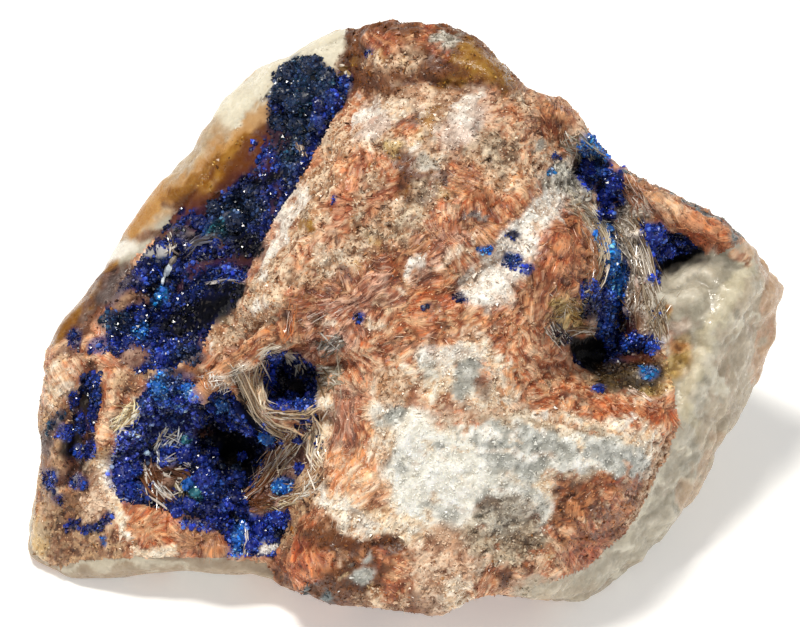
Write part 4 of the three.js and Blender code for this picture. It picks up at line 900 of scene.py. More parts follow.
class Painter:
    """Lays the marks on points and mixes the values of their looks.

    Args:
        base: The look under all the marks.
        hidden: The looks of the sides that the picture doesn't show.
        veins: The look of the veins there.
        marks: The marks in painting order; the marks of the crusts follow them.
    """

    # How far the noise moves the marks, in pixels, and how strongly clouds and veins cover hidden sides.
    STIR = 30.0
    CRUST_STIR = 10.0
    CLOUDS = 0.65
    VEINS = 0.35

    def __init__(self, base: Look, hidden: tuple[Look, ...], veins: Look, marks: tuple[Mark, ...]) -> None:
        """Keeps what it paints with."""
        self.base = base
        self.hidden = hidden
        self.veins = veins
        self.marks = marks
        self.noise = Noise(1)

    def paint(self, face: np.ndarray, shown: np.ndarray) -> np.ndarray:
        """Mixes the looks at points of the rock.

        Args:
            face: The points in the face frame.
            shown: How far each point belongs to the face that the picture shows, from 0 to 1.

        Returns:
            One row of look values for each point.
        """
        warp = [self.noise.layered(face + shift, 1.7, 3, 0.6) - 0.5 for shift in (0.0, 40.0)]
        values = np.repeat(self.base.value.values()[None], len(face), axis=0)
        for marks, stir in ((self.marks, self.STIR), (CRUST_MARKS, self.CRUST_STIR)):
            pixels = FACE.pixels(face) + stir * np.stack(warp, axis=1)
            for mark in marks:
                cover = mark.cover(pixels)
                rows = np.flatnonzero(cover)
                values[rows] += cover[rows, None] * (mark.look.value.values() - values[rows])
        hidden = np.repeat(self.hidden[0].value.values()[None], len(face), axis=0)
        for i, look in enumerate(self.hidden[1:]):
            cloud = self.noise.layered(face + 17.0 * (i + 1), 8.0 - i, 5, 0.65)
            share = self.CLOUDS * smooth(0.44, 0.66, cloud)
            hidden += share[:, None] * (look.value.values() - hidden)
        vein = np.abs(self.noise.layered(face + 70.0, 9.0, 4, 0.6) - 0.5)
        share = self.VEINS * smooth(0.04, 0.005, vein)
        hidden += share[:, None] * (self.veins.value.values() - hidden)
        return values + (1 - shown)[:, None] * (hidden - values)


class Front:
    """How deep each point lies behind the surface that the picture shows."""

    def __init__(self, face: np.ndarray, cell: float = 0.6) -> None:
        """Keeps the highest n in each cell of the face plane.

        Args:
            face: Points of all the solids in the face frame.
            cell: Width of a cell in millimetres.
        """
        self.cell = cell
        self.low = face[:, :2].min(axis=0) - 2 * cell
        self.shape = np.ceil((face[:, :2].max(axis=0) - self.low) / cell).astype(int) + 3
        self.level = np.full(self.shape, -FAR)
        spots = self.spots(face)
        np.maximum.at(self.level, (spots[:, 0], spots[:, 1]), face[:, 2])

    def spots(self, face: np.ndarray) -> np.ndarray:
        """Returns the cell of each point."""
        spots = np.floor((face[:, :2] - self.low) / self.cell).astype(int)
        return np.clip(spots, 0, self.shape - 1)

    def depth(self, face: np.ndarray) -> np.ndarray:
        """Returns how far each point lies behind the front, in millimetres."""
        spots = self.spots(face)
        return self.level[spots[:, 0], spots[:, 1]] - face[:, 2]


@dataclass
class Skin:
    """A mesh's vertices with its edges, for fields that look at neighbours."""

    mesh: bpy.types.Mesh

    def __post_init__(self) -> None:
        """Reads the vertices and edges out of the mesh."""
        self.count = len(self.mesh.vertices)
        self.place = read(self.mesh.vertices, "co", 3)
        self.edges = read(self.mesh.edges, "vertices", 2, np.int64)
        self.degree = np.bincount(self.edges.ravel(), minlength=self.count).astype(float)

    def normals(self) -> np.ndarray:
        """Returns the vertex normals of the mesh as it stands."""
        return read(self.mesh.vertices, "normal", 3)

    def average(self, values: np.ndarray, times: int = 1) -> np.ndarray:
        """Replaces each value by its neighbours' mean.

        Args:
            values: One row of values for each vertex.
            times: How often it does so.

        Returns:
            The new rows.
        """
        for _ in range(times):
            result = np.empty_like(values)
            for axis in range(values.shape[1]):
                column = values[:, axis]
                total = np.bincount(self.edges[:, 0], column[self.edges[:, 1]], self.count)
                total += np.bincount(self.edges[:, 1], column[self.edges[:, 0]], self.count)
                result[:, axis] = total / np.maximum(self.degree, 1)
            values = result
        return values

    def move(self, place: np.ndarray) -> None:
        """Moves the mesh's vertices, and lifts those under the resting plane on to it.

        Args:
            place: Their new places in metres.
        """
        self.place = place
        self.place[:, 2] = np.maximum(self.place[:, 2], 0.0)
        self.mesh.vertices.foreach_set("co", self.place.ravel())
        self.mesh.update()

    def hollowness(self, times: int) -> np.ndarray:
        """Returns how far each vertex lies under its smoothed surroundings, in millimetres."""
        pull = self.average(self.place, times) - self.place
        return np.einsum("ij,ij->i", pull, self.normals()) / MM

    def write(self, name: str, values: np.ndarray) -> None:
        """Keeps values for each vertex as an attribute of the mesh.

        Args:
            name: The attribute's name.
            values: A number, a vector or a colour for each vertex.
        """
        kinds = {1: ("FLOAT", "value"), 3: ("FLOAT_VECTOR", "vector"), 4: ("FLOAT_COLOR", "color")}
        kind, key = kinds[1 if values.ndim == 1 else values.shape[1]]
        attribute = self.mesh.attributes.new(name, kind, "POINT")
        attribute.data.foreach_set(key, np.ascontiguousarray(values, dtype=np.float32).ravel())


def mesh_of(name: str, place: np.ndarray, faces: np.ndarray) -> bpy.types.Mesh:
    """Makes a mesh.

    Args:
        name: Its name.
        place: Its vertices in metres.
        faces: The vertex numbers of its faces, which all have as many corners.

    Returns:
        The new mesh.
    """
    mesh = bpy.data.meshes.new(name)
    mesh.vertices.add(len(place))
    mesh.vertices.foreach_set("co", place.ravel())
    mesh.loops.add(faces.size)
    mesh.loops.foreach_set("vertex_index", faces.ravel().astype(np.int32))
    mesh.polygons.add(len(faces))
    mesh.polygons.foreach_set("loop_start", np.arange(0, faces.size, faces.shape[1], dtype=np.int32))
    mesh.update(calc_edges=True)
    return mesh


def picked_part(picked: np.ndarray, faces: np.ndarray, total: int) -> np.ndarray:
    """Returns faces with their vertices numbered anew, after only the picked ones of a total are left."""
    number = np.full(total, -1)
    number[picked] = np.arange(len(picked))
    return number[faces]


def point_distance(place: np.ndarray, others: np.ndarray) -> np.ndarray:
    """Measures how far places lie from the nearest of other points.

    Args:
        place: The places in metres.
        others: The other points in metres.

    Returns:
        The distance of each place in millimetres.
    """
    tree = KDTree(len(others))
    for i, point in enumerate(others):
        tree.insert(point, i)
    tree.balance()
    return np.array([tree.find(point)[2] for point in place]) / MM


class JoinedRock:
    """One even mesh over all the solids, so that the bodies meet without gaps, shared out among them."""

    # How far a solid is looked for, and how far the seams wander in front and behind, in millimetres.
    REACH = 6.0
    WANDER = 0.7
    BACK_WANDER = 3.5
    # A seam between alike solids counts as so many times as far off.
    FAINT = 2.5

    def __init__(self, nodes: tuple[str, ...], voxel: float, worn: str, alike: tuple[str, str]) -> None:
        """Makes the mesh and shares its vertices out.

        Args:
            nodes: The solids' names.
            voxel: The width of the faces in millimetres.
            worn: The solid whose edges are rounded most.
            alike: Two solids that run into each other without a seam.
        """
        self.nodes = nodes
        mesh = self.even_mesh(voxel)
        skin = Skin(mesh)
        self.edges = skin.edges
        self.faces = read(mesh.loops, "vertex_index", 1, np.int64).reshape(-1, 4)
        face = FACE.from_world(skin.place)
        noise = Noise(5)
        away = self.BACK_WANDER * smooth(0.1, -0.3, skin.normals() @ FACE.axes()[2])
        gaps = [self.gap(node, skin.place) + self.WANDER * noise.layered(face + 31.0 * i, 1.6, 3, 0.6)
                for i, node in enumerate(nodes)]
        gaps[0] += away * (noise.layered(face, 6.0, 4, 0.6) - noise.layered(face + 17.0, 6.0, 4, 0.6))
        self.owner = np.argmin(gaps, axis=0)
        place = skin.average(skin.place, 4)
        ends = self.owner[self.edges]
        seam = ends[:, 0] != ends[:, 1]
        run_in = seam & np.isin(ends, [nodes.index(node) for node in alike]).all(axis=1)
        sharp, faint = (np.unique(self.edges[kind]) for kind in (seam & ~run_in, run_in))
        to_sharp = point_distance(place, place[sharp])
        to_faint = self.FAINT * point_distance(place, place[faint])
        self.near = np.minimum(to_sharp, to_faint)
        soft = (smooth(0.3, 2.5, self.near) * (self.owner == nodes.index(worn)))[:, None]
        for _ in range(6):
            place = place + soft * (skin.average(place) - place)
        self.place = place

    def even_mesh(self, voxel: float) -> bpy.types.Mesh:
        """Joins all the solids.

        Args:
            voxel: The width of the faces in millimetres.

        Returns:
            One mesh of even faces.
        """
        bm = bmesh.new()
        for node in self.nodes:
            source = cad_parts[node]
            first = len(bm.verts)
            bm.from_mesh(source.data)
            bm.verts.ensure_lookup_table()
            bmesh.ops.transform(bm, matrix=source.matrix_world, verts=bm.verts[first:])
            bmesh.ops.remove_doubles(bm, verts=bm.verts[first:], dist=0.001 * MM)
        mesh = bpy.data.meshes.new("joined rock")
        bm.to_mesh(mesh)
        bm.free()
        piece = set_out("joined rock", mesh)
        remesh = piece.modifiers.new("even faces", "REMESH")
        remesh.mode = "VOXEL"
        remesh.voxel_size = voxel * MM
        remesh.adaptivity = 0.0
        graph = bpy.context.evaluated_depsgraph_get()
        fine = bpy.data.meshes.new_from_object(piece.evaluated_get(graph))
        bpy.data.objects.remove(piece)
        return fine

    def gap(self, node: str, place: np.ndarray) -> np.ndarray:
        """Measures how far places lie from the surface of a solid.

        Args:
            node: The solid's name.
            place: The places in metres.

        Returns:
            The distance of each place in millimetres, at most the reach.
        """
        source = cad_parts[node]
        bm = bmesh.new()
        bm.from_mesh(source.data)
        bmesh.ops.transform(bm, matrix=source.matrix_world, verts=bm.verts)
        tree = BVHTree.FromBMesh(bm)
        bm.free()
        reach = self.REACH * MM
        found = [tree.find_nearest(point, reach)[3] for point in place]
        return np.array([reach if gap is None else gap for gap in found]) / MM


@dataclass(frozen=True)
class FibreFan:
    """A bundle of fibres round one pixel, running out from another."""

    at: tuple[float, float]
    source: tuple[float, float]
    reach: float


MAIN_FANS: tuple[FibreFan, ...] = (
    FibreFan((335, 330), (378, 292), 44),
    FibreFan((560, 280), (530, 350), 50),
    FibreFan((590, 290), (545, 330), 30),
    FibreFan((505, 205), (470, 150), 34),
    FibreFan((430, 275), (300, 330), 40),
    FibreFan((380, 285), (290, 345), 36),
    FibreFan((480, 335), (400, 380), 40),
    FibreFan((540, 370), (480, 330), 34),
    FibreFan((610, 410), (560, 360), 34),
    FibreFan((255, 350), (330, 305), 40),
    FibreFan((640, 270), (640, 480), 40),
    FibreFan((350, 480), (300, 540), 34),
    FibreFan((345, 420), (350, 350), 30),
    FibreFan((600, 510), (560, 470), 34),
    FibreFan((148, 530), (150, 528), 30),
    FibreFan((690, 220), (620, 160), 40),
    FibreFan((305, 565), (300, 520), 26),
)


class FibreField:
    """The fans of fibres all over the face: the listed ones and seeded ones between them."""

    def __init__(self, seed: int, spacing: float = 34.0) -> None:
        """Spreads seeded fans over the picture on a loose grid.

        Args:
            seed: Seeds their places and directions.
            spacing: The usual distance between two of them in pixels.
        """
        random = np.random.default_rng(seed)
        fans = [(fan.at, fan.source, fan.reach) for fan in MAIN_FANS]
        for px in np.arange(10, PICTURE[0], spacing):
            for py in np.arange(10, PICTURE[1], spacing):
                at = np.array([px, py]) + random.uniform(-0.5, 0.5, 2) * spacing
                way = random.uniform(0, 2 * math.pi)
                source = at + random.uniform(20, 90) * np.array([math.cos(way), math.sin(way)])
                fans.append((tuple(at), tuple(source), spacing * random.uniform(0.5, 0.8)))
        self.at = np.array([fan[0] for fan in fans])
        self.source = np.array([fan[1] for fan in fans])
        self.reach = np.array([fan[2] for fan in fans])
        self.name = random.uniform(0, 1, len(fans))

    def owner(self, pixels: np.ndarray) -> np.ndarray:
        """Finds the fan that each place belongs to.

        Args:
            pixels: The places in the picture.

        Returns:
            The number of the fan for each place.
        """
        best = np.full(len(pixels), FAR)
        owner = np.zeros(len(pixels), dtype=int)
        for i in range(len(self.at)):
            d = np.linalg.norm(pixels - self.at[i], axis=1) / self.reach[i]
            owner = np.where(d < best, i, owner)
            best = np.minimum(best, d)
        return owner

    def grain(self, pixels: np.ndarray, owner: np.ndarray) -> np.ndarray:
        """Finds where places lie in the run of the fibres.

        Args:
            pixels: The places in the picture.
            owner: The number of the fan of each place.

        Returns:
            For each place its distance across the fibres and along them in millimetres, and its fan.
        """
        away = pixels - self.source[owner]
        along = np.linalg.norm(away, axis=1) * FACE.mm_per_pixel
        reach = np.linalg.norm(self.at - self.source, axis=1)[owner] * FACE.mm_per_pixel
        across = np.arctan2(away[:, 1], away[:, 0]) * np.maximum(reach, 1.5)
        return np.stack([across, along, self.name[owner] * 40], axis=1)

    def direction(self, pixels: np.ndarray, owner: np.ndarray) -> np.ndarray:
        """Returns the fibres' direction at each place, as x and v of unit length."""
        away = pixels - self.source[owner]
        away[:, 1] *= -1
        return away / np.maximum(np.linalg.norm(away, axis=1, keepdims=True), TINY)


class Shader:
    """Small helper that lays out one material's nodes."""

    def __init__(self, name: str) -> None:
        """Starts a material with a Principled shader.

        Args:
            name: The material's name.
        """
        self.material = bpy.data.materials.new(name)
        self.material.use_nodes = True
        self.tree = self.material.node_tree
        self.nodes = self.tree.nodes
        self.surface = self.nodes["Principled BSDF"]

    def add(self, kind: str, **values: object) -> bpy.types.Node:
        """Adds a node.

        Args:
            kind: What kind of node it is.
            values: The properties to set, by name.

        Returns:
            The node.
        """
        node = self.nodes.new(kind)
        for key, value in values.items():
            setattr(node, key, value)
        return node

    def link(self, start: Socket, end: Socket) -> None:
        """Joins two sockets."""
        self.tree.links.new(start, end)

    def attribute(self, name: str) -> bpy.types.Node:
        """Adds a node that reads a vertex attribute."""
        return self.add("ShaderNodeAttribute", attribute_name=name)

    def group(self, tree: bpy.types.NodeTree, **inputs: Socket) -> bpy.types.Node:
        """Places a node group and links its inputs.

        Args:
            tree: The group.
            inputs: The output that feeds each input, by the input's name.

        Returns:
            The node that holds the group.
        """
        node = self.nodes.new("ShaderNodeGroup")
        node.node_tree = tree
        for key, start in inputs.items():
            self.link(start, node.inputs[key])
        return node


def new_group(
    name: str, inputs: dict[str, tuple[str, object]], outputs: dict[str, str]
) -> bpy.types.NodeTree:
    """Makes an empty shader group with named sockets.

    Args:
        name: The group's name.
        inputs: For each input its socket type and default value.
        outputs: For each output its socket type.

    Returns:
        The group with its input and output nodes in place.
    """
    tree = bpy.data.node_groups.new(name, "ShaderNodeTree")
    for key, (kind, default) in inputs.items():
        socket = tree.interface.new_socket(name=key, in_out="INPUT", socket_type=kind)
        if default is not None:
            socket.default_value = default
    for key, kind in outputs.items():
        tree.interface.new_socket(name=key, in_out="OUTPUT", socket_type=kind)
    tree.nodes.new("NodeGroupInput").name = "in"
    tree.nodes.new("NodeGroupOutput").name = "out"
    return tree


# The sockets of a Mix node between colours, by number.
MIX_SHARE, MIX_FIRST, MIX_SECOND, MIX_RESULT = 0, 6, 7, 2
# The scales of the fine grain, the share of its odd cells, and the finishes' fixed values.
FIBRE_STRETCH = (9.0, 1.2, 1.0)
SPECK_SCALE = 2600.0
CELL_SCALE = 3300.0
SPLINTER_SCALE = 0.8
NOISE_ROUGHNESS = 0.68
ODD_CELLS = 0.1
PALE_GAIN = (0.45, 0.38, 0.30)
BUMP_HEIGHT = 0.12
COAT_ROUGHNESS = 0.12
WARM_SCATTER = (1.0, 0.9, 0.75)
CRYSTAL_GRAIN = 5200.0
CRYSTAL_COAT_ROUGHNESS = 0.1


def mineral_grain_group() -> bpy.types.NodeTree:
    """Builds the group that adds fine fibres, splinters, specks and relief to a painted colour.

    Returns:
        A group that takes the tone, the roughness, the fibre weight, the grain coordinates and the strength
        of it all, and gives a colour, a roughness and a height.
    """
    tree = new_group(
        "mineral grain",
        {
            "Tone": ("NodeSocketColor", (0.8, 0.8, 0.8, 1)),
            "Rough": ("NodeSocketFloat", 0.5),
            "Fibre": ("NodeSocketFloat", 0.0),
            "Grain": ("NodeSocketVector", None),
            "Contrast": ("NodeSocketFloat", 0.5),
        },
        {"Color": "NodeSocketColor", "Roughness": "NodeSocketFloat", "Height": "NodeSocketFloat"},
    )
    nodes, links = tree.nodes, tree.links
    start, end = nodes["in"], nodes["out"]
    tone, weight, contrast = start.outputs["Tone"], start.outputs["Fibre"], start.outputs["Contrast"]

    def calculate(operation: str, first: object, second: object = 0.0, clamp: bool = False) -> Socket:
        """Adds a Math node.

        Args:
            operation: What it does.
            first: Its first value, or the socket that gives it.
            second: Its second value, or the socket that gives it.
            clamp: Whether the result stays from 0 to 1.

        Returns:
            Its output.
        """
        node = nodes.new("ShaderNodeMath")
        node.operation = operation
        node.use_clamp = clamp
        for socket, value in zip(node.inputs, (first, second)):
            if isinstance(value, Socket):
                links.new(value, socket)
            else:
                socket.default_value = value
        return node.outputs[0]

    def centred(value: Socket, gain: float) -> Socket:
        """Adds nodes that turn a value from 0 to 1 into one about zero, and returns their output."""
        return calculate("MULTIPLY", calculate("SUBTRACT", value, 0.5), gain)

    def noise(vector: Socket, scale: float, detail: float) -> Socket:
        """Adds a Noise texture.

        Args:
            vector: Its coordinates.
            scale: Its scale.
            detail: Its detail.

        Returns:
            Its value.
        """
        node = nodes.new("ShaderNodeTexNoise")
        fill(node, {"Scale": scale, "Detail": detail, "Roughness": NOISE_ROUGHNESS})
        links.new(vector, node.inputs["Vector"])
        return node.outputs["Fac"]

    def random_cells(vector: Socket, scale: float) -> Socket:
        """Adds a Voronoi texture.

        Args:
            vector: Its coordinates.
            scale: Its scale.

        Returns:
            The random colour of its cells.
        """
        node = nodes.new("ShaderNodeTexVoronoi")
        node.inputs["Scale"].default_value = scale
        links.new(vector, node.inputs["Vector"])
        return node.outputs["Color"]

    def blend(share: Socket, first: Socket, second: Socket) -> Socket:
        """Adds a Mix node between two colours.

        Args:
            share: How much of the second colour shows.
            first: The first colour.
            second: The second colour.

        Returns:
            The mixed colour.
        """
        node = nodes.new("ShaderNodeMix")
        node.data_type = "RGBA"
        for socket, value in ((MIX_SHARE, share), (MIX_FIRST, first), (MIX_SECOND, second)):
            links.new(value, node.inputs[socket])
        return node.outputs[MIX_RESULT]

    def vector_math(operation: str, vector: Socket, key: str | int, value: object) -> Socket:
        """Adds a Vector Math node.

        Args:
            operation: What it does.
            vector: Its first vector.
            key: The name or number of its other input.
            value: The value of that input, or the socket that gives it.

        Returns:
            Its output.
        """
        node = nodes.new("ShaderNodeVectorMath")
        node.operation = operation
        links.new(vector, node.inputs[0])
        if isinstance(value, Socket):
            links.new(value, node.inputs[key])
        else:
            node.inputs[key].default_value = value
        return node.outputs[0]

    run = vector_math("MULTIPLY", start.outputs["Grain"], 1, FIBRE_STRETCH)
    place = nodes.new("ShaderNodeTexCoord").outputs["Object"]
    mix = nodes.new("ShaderNodeMix")
    mix.data_type = "FLOAT"
    links.new(weight, mix.inputs["Factor"])
    links.new(noise(place, SPECK_SCALE, 4.0), mix.inputs["A"])
    links.new(noise(run, 1.0, 3.0), mix.inputs["B"])
    fine = mix.outputs["Result"]
    cells = blend(weight, random_cells(place, CELL_SCALE), random_cells(run, SPLINTER_SCALE))
    split = nodes.new("ShaderNodeSeparateColor")
    links.new(cells, split.inputs[0])
    swing = calculate("ADD", centred(fine, 1.6), centred(split.outputs[0], 0.6))
    gain = calculate("ADD", calculate("MULTIPLY", swing, contrast), 1.0)
    toned = vector_math("SCALE", tone, "Scale", gain)
    pale = calculate("MULTIPLY", calculate("GREATER_THAN", split.outputs[1], 1 - ODD_CELLS), contrast)
    dark = calculate("MULTIPLY", calculate("LESS_THAN", split.outputs[1], ODD_CELLS), contrast)
    deeper = vector_math("SCALE", tone, "Scale", 0.3)
    lighter = vector_math("ADD", tone, 1, PALE_GAIN)
    colour = blend(calculate("MULTIPLY", dark, 0.6), toned, deeper)
    colour = blend(calculate("MULTIPLY", pale, 0.45), colour, lighter)
    links.new(colour, end.inputs["Color"])
    rough = calculate("ADD", calculate("MULTIPLY", split.outputs[2], 0.5), start.outputs["Rough"])
    links.new(calculate("SUBTRACT", rough, 0.25, True), end.inputs["Roughness"])
    height = calculate("ADD", fine, calculate("MULTIPLY", split.outputs[0], 0.35))
    links.new(height, end.inputs["Height"])
    return tree


@dataclass(frozen=True)
class RockFinish:
    """Finish of a painted rock surface.

    Args:
        name: The material's name.
        contrast: How much the fine grain changes the colour.
        relief: The strength of the fine grain's bump.
        specular: The strength of its reflections.
        subsurface: How much light scatters under the surface.
        subsurface_reach: How far it scatters in millimetres.
        coat: The weight of the glossy coat.
    """

    name: str
    contrast: float
    relief: float
    specular: float = 0.5
    subsurface: float = 0.0
    subsurface_reach: float = 1.0
    coat: float = 0.0

    def material(self, grain: bpy.types.NodeTree) -> bpy.types.Material:
        """Builds the material.

        Args:
            grain: The group that adds the fine grain.

        Returns:
            The material, which reads the attributes tone, rough, fibre, grit and grain.
        """
        shader = Shader(self.name)
        tone, rough = shader.attribute("tone"), shader.attribute("rough")
        fibre, coords, grit = shader.attribute("fibre"), shader.attribute("grain"), shader.attribute("grit")
        contrast = shader.add("ShaderNodeMath", operation="MULTIPLY")
        contrast.inputs[1].default_value = self.contrast
        shader.link(grit.outputs["Fac"], contrast.inputs[0])
        node = shader.group(
            grain,
            Tone=tone.outputs["Color"],
            Rough=rough.outputs["Fac"],
            Fibre=fibre.outputs["Fac"],
            Grain=coords.outputs["Vector"],
            Contrast=contrast.outputs[0],
        )
        bump = shader.add("ShaderNodeBump")
        fill(bump, {"Strength": self.relief, "Distance": BUMP_HEIGHT * MM})
        shader.link(node.outputs["Height"], bump.inputs["Height"])
        surface = shader.surface
        shader.link(node.outputs["Color"], surface.inputs["Base Color"])
        shader.link(node.outputs["Roughness"], surface.inputs["Roughness"])
        shader.link(bump.outputs["Normal"], surface.inputs["Normal"])
        fill(surface, {"Specular IOR Level": self.specular})
        fill(surface, {"Coat Weight": self.coat, "Coat Roughness": COAT_ROUGHNESS})
        if self.subsurface > 0:
            fill(surface, {"Subsurface Weight": self.subsurface, "Subsurface Radius": WARM_SCATTER})
            fill(surface, {"Subsurface Scale": self.subsurface_reach * MM})
        return shader.material


@dataclass(frozen=True)
class CrystalFinish:
    """Finish of small crystals that carry their own colour in an attribute.

    Args:
        name: The material's name.
        rough: The roughness of its shine.
        specular: The strength of its reflections.
        coat: The weight of the glossy coat.
    """

    name: str
    rough: float = 0.22
    specular: float = 0.5
    coat: float = 0.1

    def material(self) -> bpy.types.Material:
        """Builds the material.

        Returns:
            The material, which reads the attribute tone.
        """
        shader = Shader(self.name)
        tone = shader.attribute("tone")
        place = shader.add("ShaderNodeTexCoord")
        grain = shader.add("ShaderNodeTexNoise")
        fill(grain, {"Scale": CRYSTAL_GRAIN, "Detail": 2.0})
        shader.link(place.outputs["Object"], grain.inputs["Vector"])
        gain = shader.add("ShaderNodeMapRange")
        fill(gain, {"To Min": 0.7, "To Max": 1.3})
        shader.link(grain.outputs["Fac"], gain.inputs["Value"])
        toned = shader.add("ShaderNodeVectorMath", operation="SCALE")
        shader.link(tone.outputs["Color"], toned.inputs[0])
        shader.link(gain.outputs["Result"], toned.inputs["Scale"])
        surface = shader.surface
        shader.link(toned.outputs[0], surface.inputs["Base Color"])
        fill(surface, {"Roughness": self.rough, "Specular IOR Level": self.specular})
        fill(surface, {"Coat Weight": self.coat, "Coat Roughness": CRYSTAL_COAT_ROUGHNESS})
        return shader.material


@dataclass
class RockBody:
    """One painted body of rock that stands for a solid of the frame.

    Args:
        node: The solid it stands for.
        name: The name of the piece.
        slot: The name of its finish's slot, which is handed on to the grains strewn on it.
        finish: Its finish.
        painter: What colours it.
        grow: How far it stands out over its solid in millimetres, away from its seams.
        roughness: Height of its broken relief in millimetres.
        seed: Seeds its relief.
        knobs: How rounded its blue places are, from 0 to 1.
        facets: How steeply its flat breaks stand to each other, as a slope.
        stains: What stains it along its seams, where the picture doesn't show it.
    """

    node: str
    name: str
    slot: str
    finish: RockFinish
    painter: Painter
    grow: float
    roughness: float
    seed: int
    knobs: float = 0.3
    facets: float = 0.0
    stains: tuple[Look, ...] = ()

    # Rows of its neighbours' faces that it takes along until it is trimmed.
    MARGIN = 10
    # How far the noise moves its fibres, in pixels.
    STIR = 6.0
    # How far all of it stands out, how wide its seams are and how far stains wander, in millimetres.
    SWELL = 0.12
    SEAM = 1.3
    STAIN_WANDER = 9.0
    # Rounds of smoothing that tell small hollows and large ones.
    FINE_ROUNDS = 3
    WIDE_ROUNDS = 16
    # How strongly the deep colour (painted shade in hollows, and dark spots), the crown colour (painted
    # highlight on edges, and pale spots) and odd blocks show, and how far the bed under crystals is darkened
    # as painted shade.
    DEEP_SHARE = 0.85
    CROWN_SHARE = 0.75
    BLOCK_SHARE = 0.55
    BLUE_SHADE = 0.7
    # The colours of odd blocks, each with the random numbers from and to which a block takes it.
    BLOCK_TONES = (((0.80, 0.42, 0.22), 0.3, 0.45), ((0.66, 0.52, 0.40), 0.58, 0.7))
    # What a warm sliver adds to red, green and blue.
    WARM_GAIN = (0.12, -0.12, -0.35)

    def build(self, rock: JoinedRock) -> None:
        """Takes the body's part of the joined mesh, with a margin of its neighbours that is cut off later.

        Args:
            rock: The joined mesh.
        """
        own = rock.owner == rock.nodes.index(self.node)
        taken = own.copy()
        for _ in range(self.MARGIN):
            taken[rock.edges[taken[rock.edges].any(axis=1)].ravel()] = True
        faces = rock.faces[taken[rock.faces].all(axis=1)]
        picked = np.flatnonzero(taken)
        self.own = own[faces[:, 0]]
        self.near = rock.near[picked]
        self.faces = picked_part(picked, faces, len(taken))
        self.piece = set_out(self.name, mesh_of(self.name, rock.place[picked], self.faces))

    def trim(self, fields: dict[str, np.ndarray]) -> None:
        """Cuts the body down to its own faces and writes what was painted on it.

        Args:
            fields: Values for each vertex by name.
        """
        faces = self.faces[self.own]
        picked = np.unique(faces)
        normals = self.skin.normals()[picked]
        mesh = mesh_of(self.name, self.skin.place[picked], picked_part(picked, faces, self.skin.count))
        self.piece.data = mesh
        skin = Skin(mesh)
        for name, values in fields.items():
            skin.write(name, values[picked])
        mesh.normals_split_custom_set_from_vertices(normals)
        self.looks, self.shade = self.looks[picked], self.shade[picked]

    def dress(self, front: Front, fibres: FibreField, grain: bpy.types.NodeTree) -> None:
        """Gives the body its relief, colours and material.

        Args:
            front: Tells the shown face from hidden sides.
            fibres: The fans of fibres.
            grain: The group that adds the fine grain.
        """
        self.skin = Skin(self.piece.data)
        skin, near = self.skin, self.near
        noise = Noise(self.seed)
        face = FACE.from_world(skin.place)
        facing = skin.normals() @ FACE.axes()[2]
        shown = np.maximum(smooth(5.0, 2.0, front.depth(face)), smooth(0.2, 0.5, facing))
        self.looks = self.painter.paint(face, shown)
        for i, stain in enumerate(self.stains):
            reach = near + self.STAIN_WANDER * (noise.layered(face + 9.0 * i, 3.0, 4, 0.6) - 0.35)
            cover = smooth(0.2, -0.2, facing) * smooth(4.5, 1.0, reach)
            self.looks += cover[:, None] * (stain.value.values() - self.looks)
        self.looks[:, Column.FIBRE] *= 0.25 + 0.75 * shown
        kinds = (Column.FIBRE, Column.PITS, Column.SUGAR, Column.BLUE)
        fibre, pits, sugar, blue = (self.looks[:, kind] for kind in kinds)
        pixels = FACE.pixels(face) + self.STIR * (noise.stir(face, 1.2, (11.0, 23.0)) - 0.5)
        owner = fibres.owner(pixels)
        grain_place = fibres.grain(pixels, owner)
        rugged = smooth(0.0, 0.3, self.looks[:, Column.RUGGED].sum(axis=1))
        lift = self.grow + (0.2 + 0.8 * rugged) * self.roughness * self.broken(noise, face)
        split = np.maximum(0.15, np.maximum(1 - shown, 4.0 * sugar)).clip(0, 0.7)
        lift += self.facets * split * self.faceted(noise, face)
        lift += fibre * self.fibrous(noise, grain_place)
        lift -= pits * self.pitted(noise, face)
        lift += sugar * self.sugary(noise, face)
        lift += self.knobs * blue * self.knobby(noise, face)
        lift += smooth(self.SEAM, 0.0, near) * (0.35 * self.broken(Noise(3), face) - lift)
        flat = smooth(0.05, 0.6, skin.place[:, 2] / MM)
        skin.move(skin.place + skin.normals() * ((self.SWELL + lift) * flat)[:, None] * MM)
        fields = self.colour(noise, face, grain_place)
        self.trim({"grain": grain_place, **fields})
        self.piece.data.materials.append(self.finish.material(grain))
        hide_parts(self.node)
        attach(self.piece, "root")

    def broken(self, noise: Noise, face: np.ndarray) -> np.ndarray:
        """Works out the uneven relief of a broken surface, about one high.

        Args:
            noise: The body's own noise.
            face: Its vertices in the face frame.

        Returns:
            One number for each vertex.
        """
        plates = noise.cells(face + 2.0 * np.stack([noise.value(face, 3.0)] * 3, axis=1), 3.2)
        steps = (plates[2] - 0.5) * 0.6 * smooth(0.0, 0.25, plates[1] - plates[0])
        swell = noise.layered(face, 2.4, 4, 0.55) - 0.5
        return 1.2 * steps + 1.5 * swell

    def faceted(self, noise: Noise, face: np.ndarray) -> np.ndarray:
        """Works out the relief of flat breaks that meet at edges, in millimetres at a slope of one.

        Args:
            noise: The body's own noise.
            face: Its vertices in the face frame.

        Returns:
            One number for each vertex.
        """
        total = np.zeros(len(face))
        for size, weight in ((9.0, 5.0), (4.2, 2.4), (1.9, 0.8)):
            near, next_near, _ = noise.cells(face + size, size)
            total += weight * (next_near**2 - near**2 - 0.35)
        return total

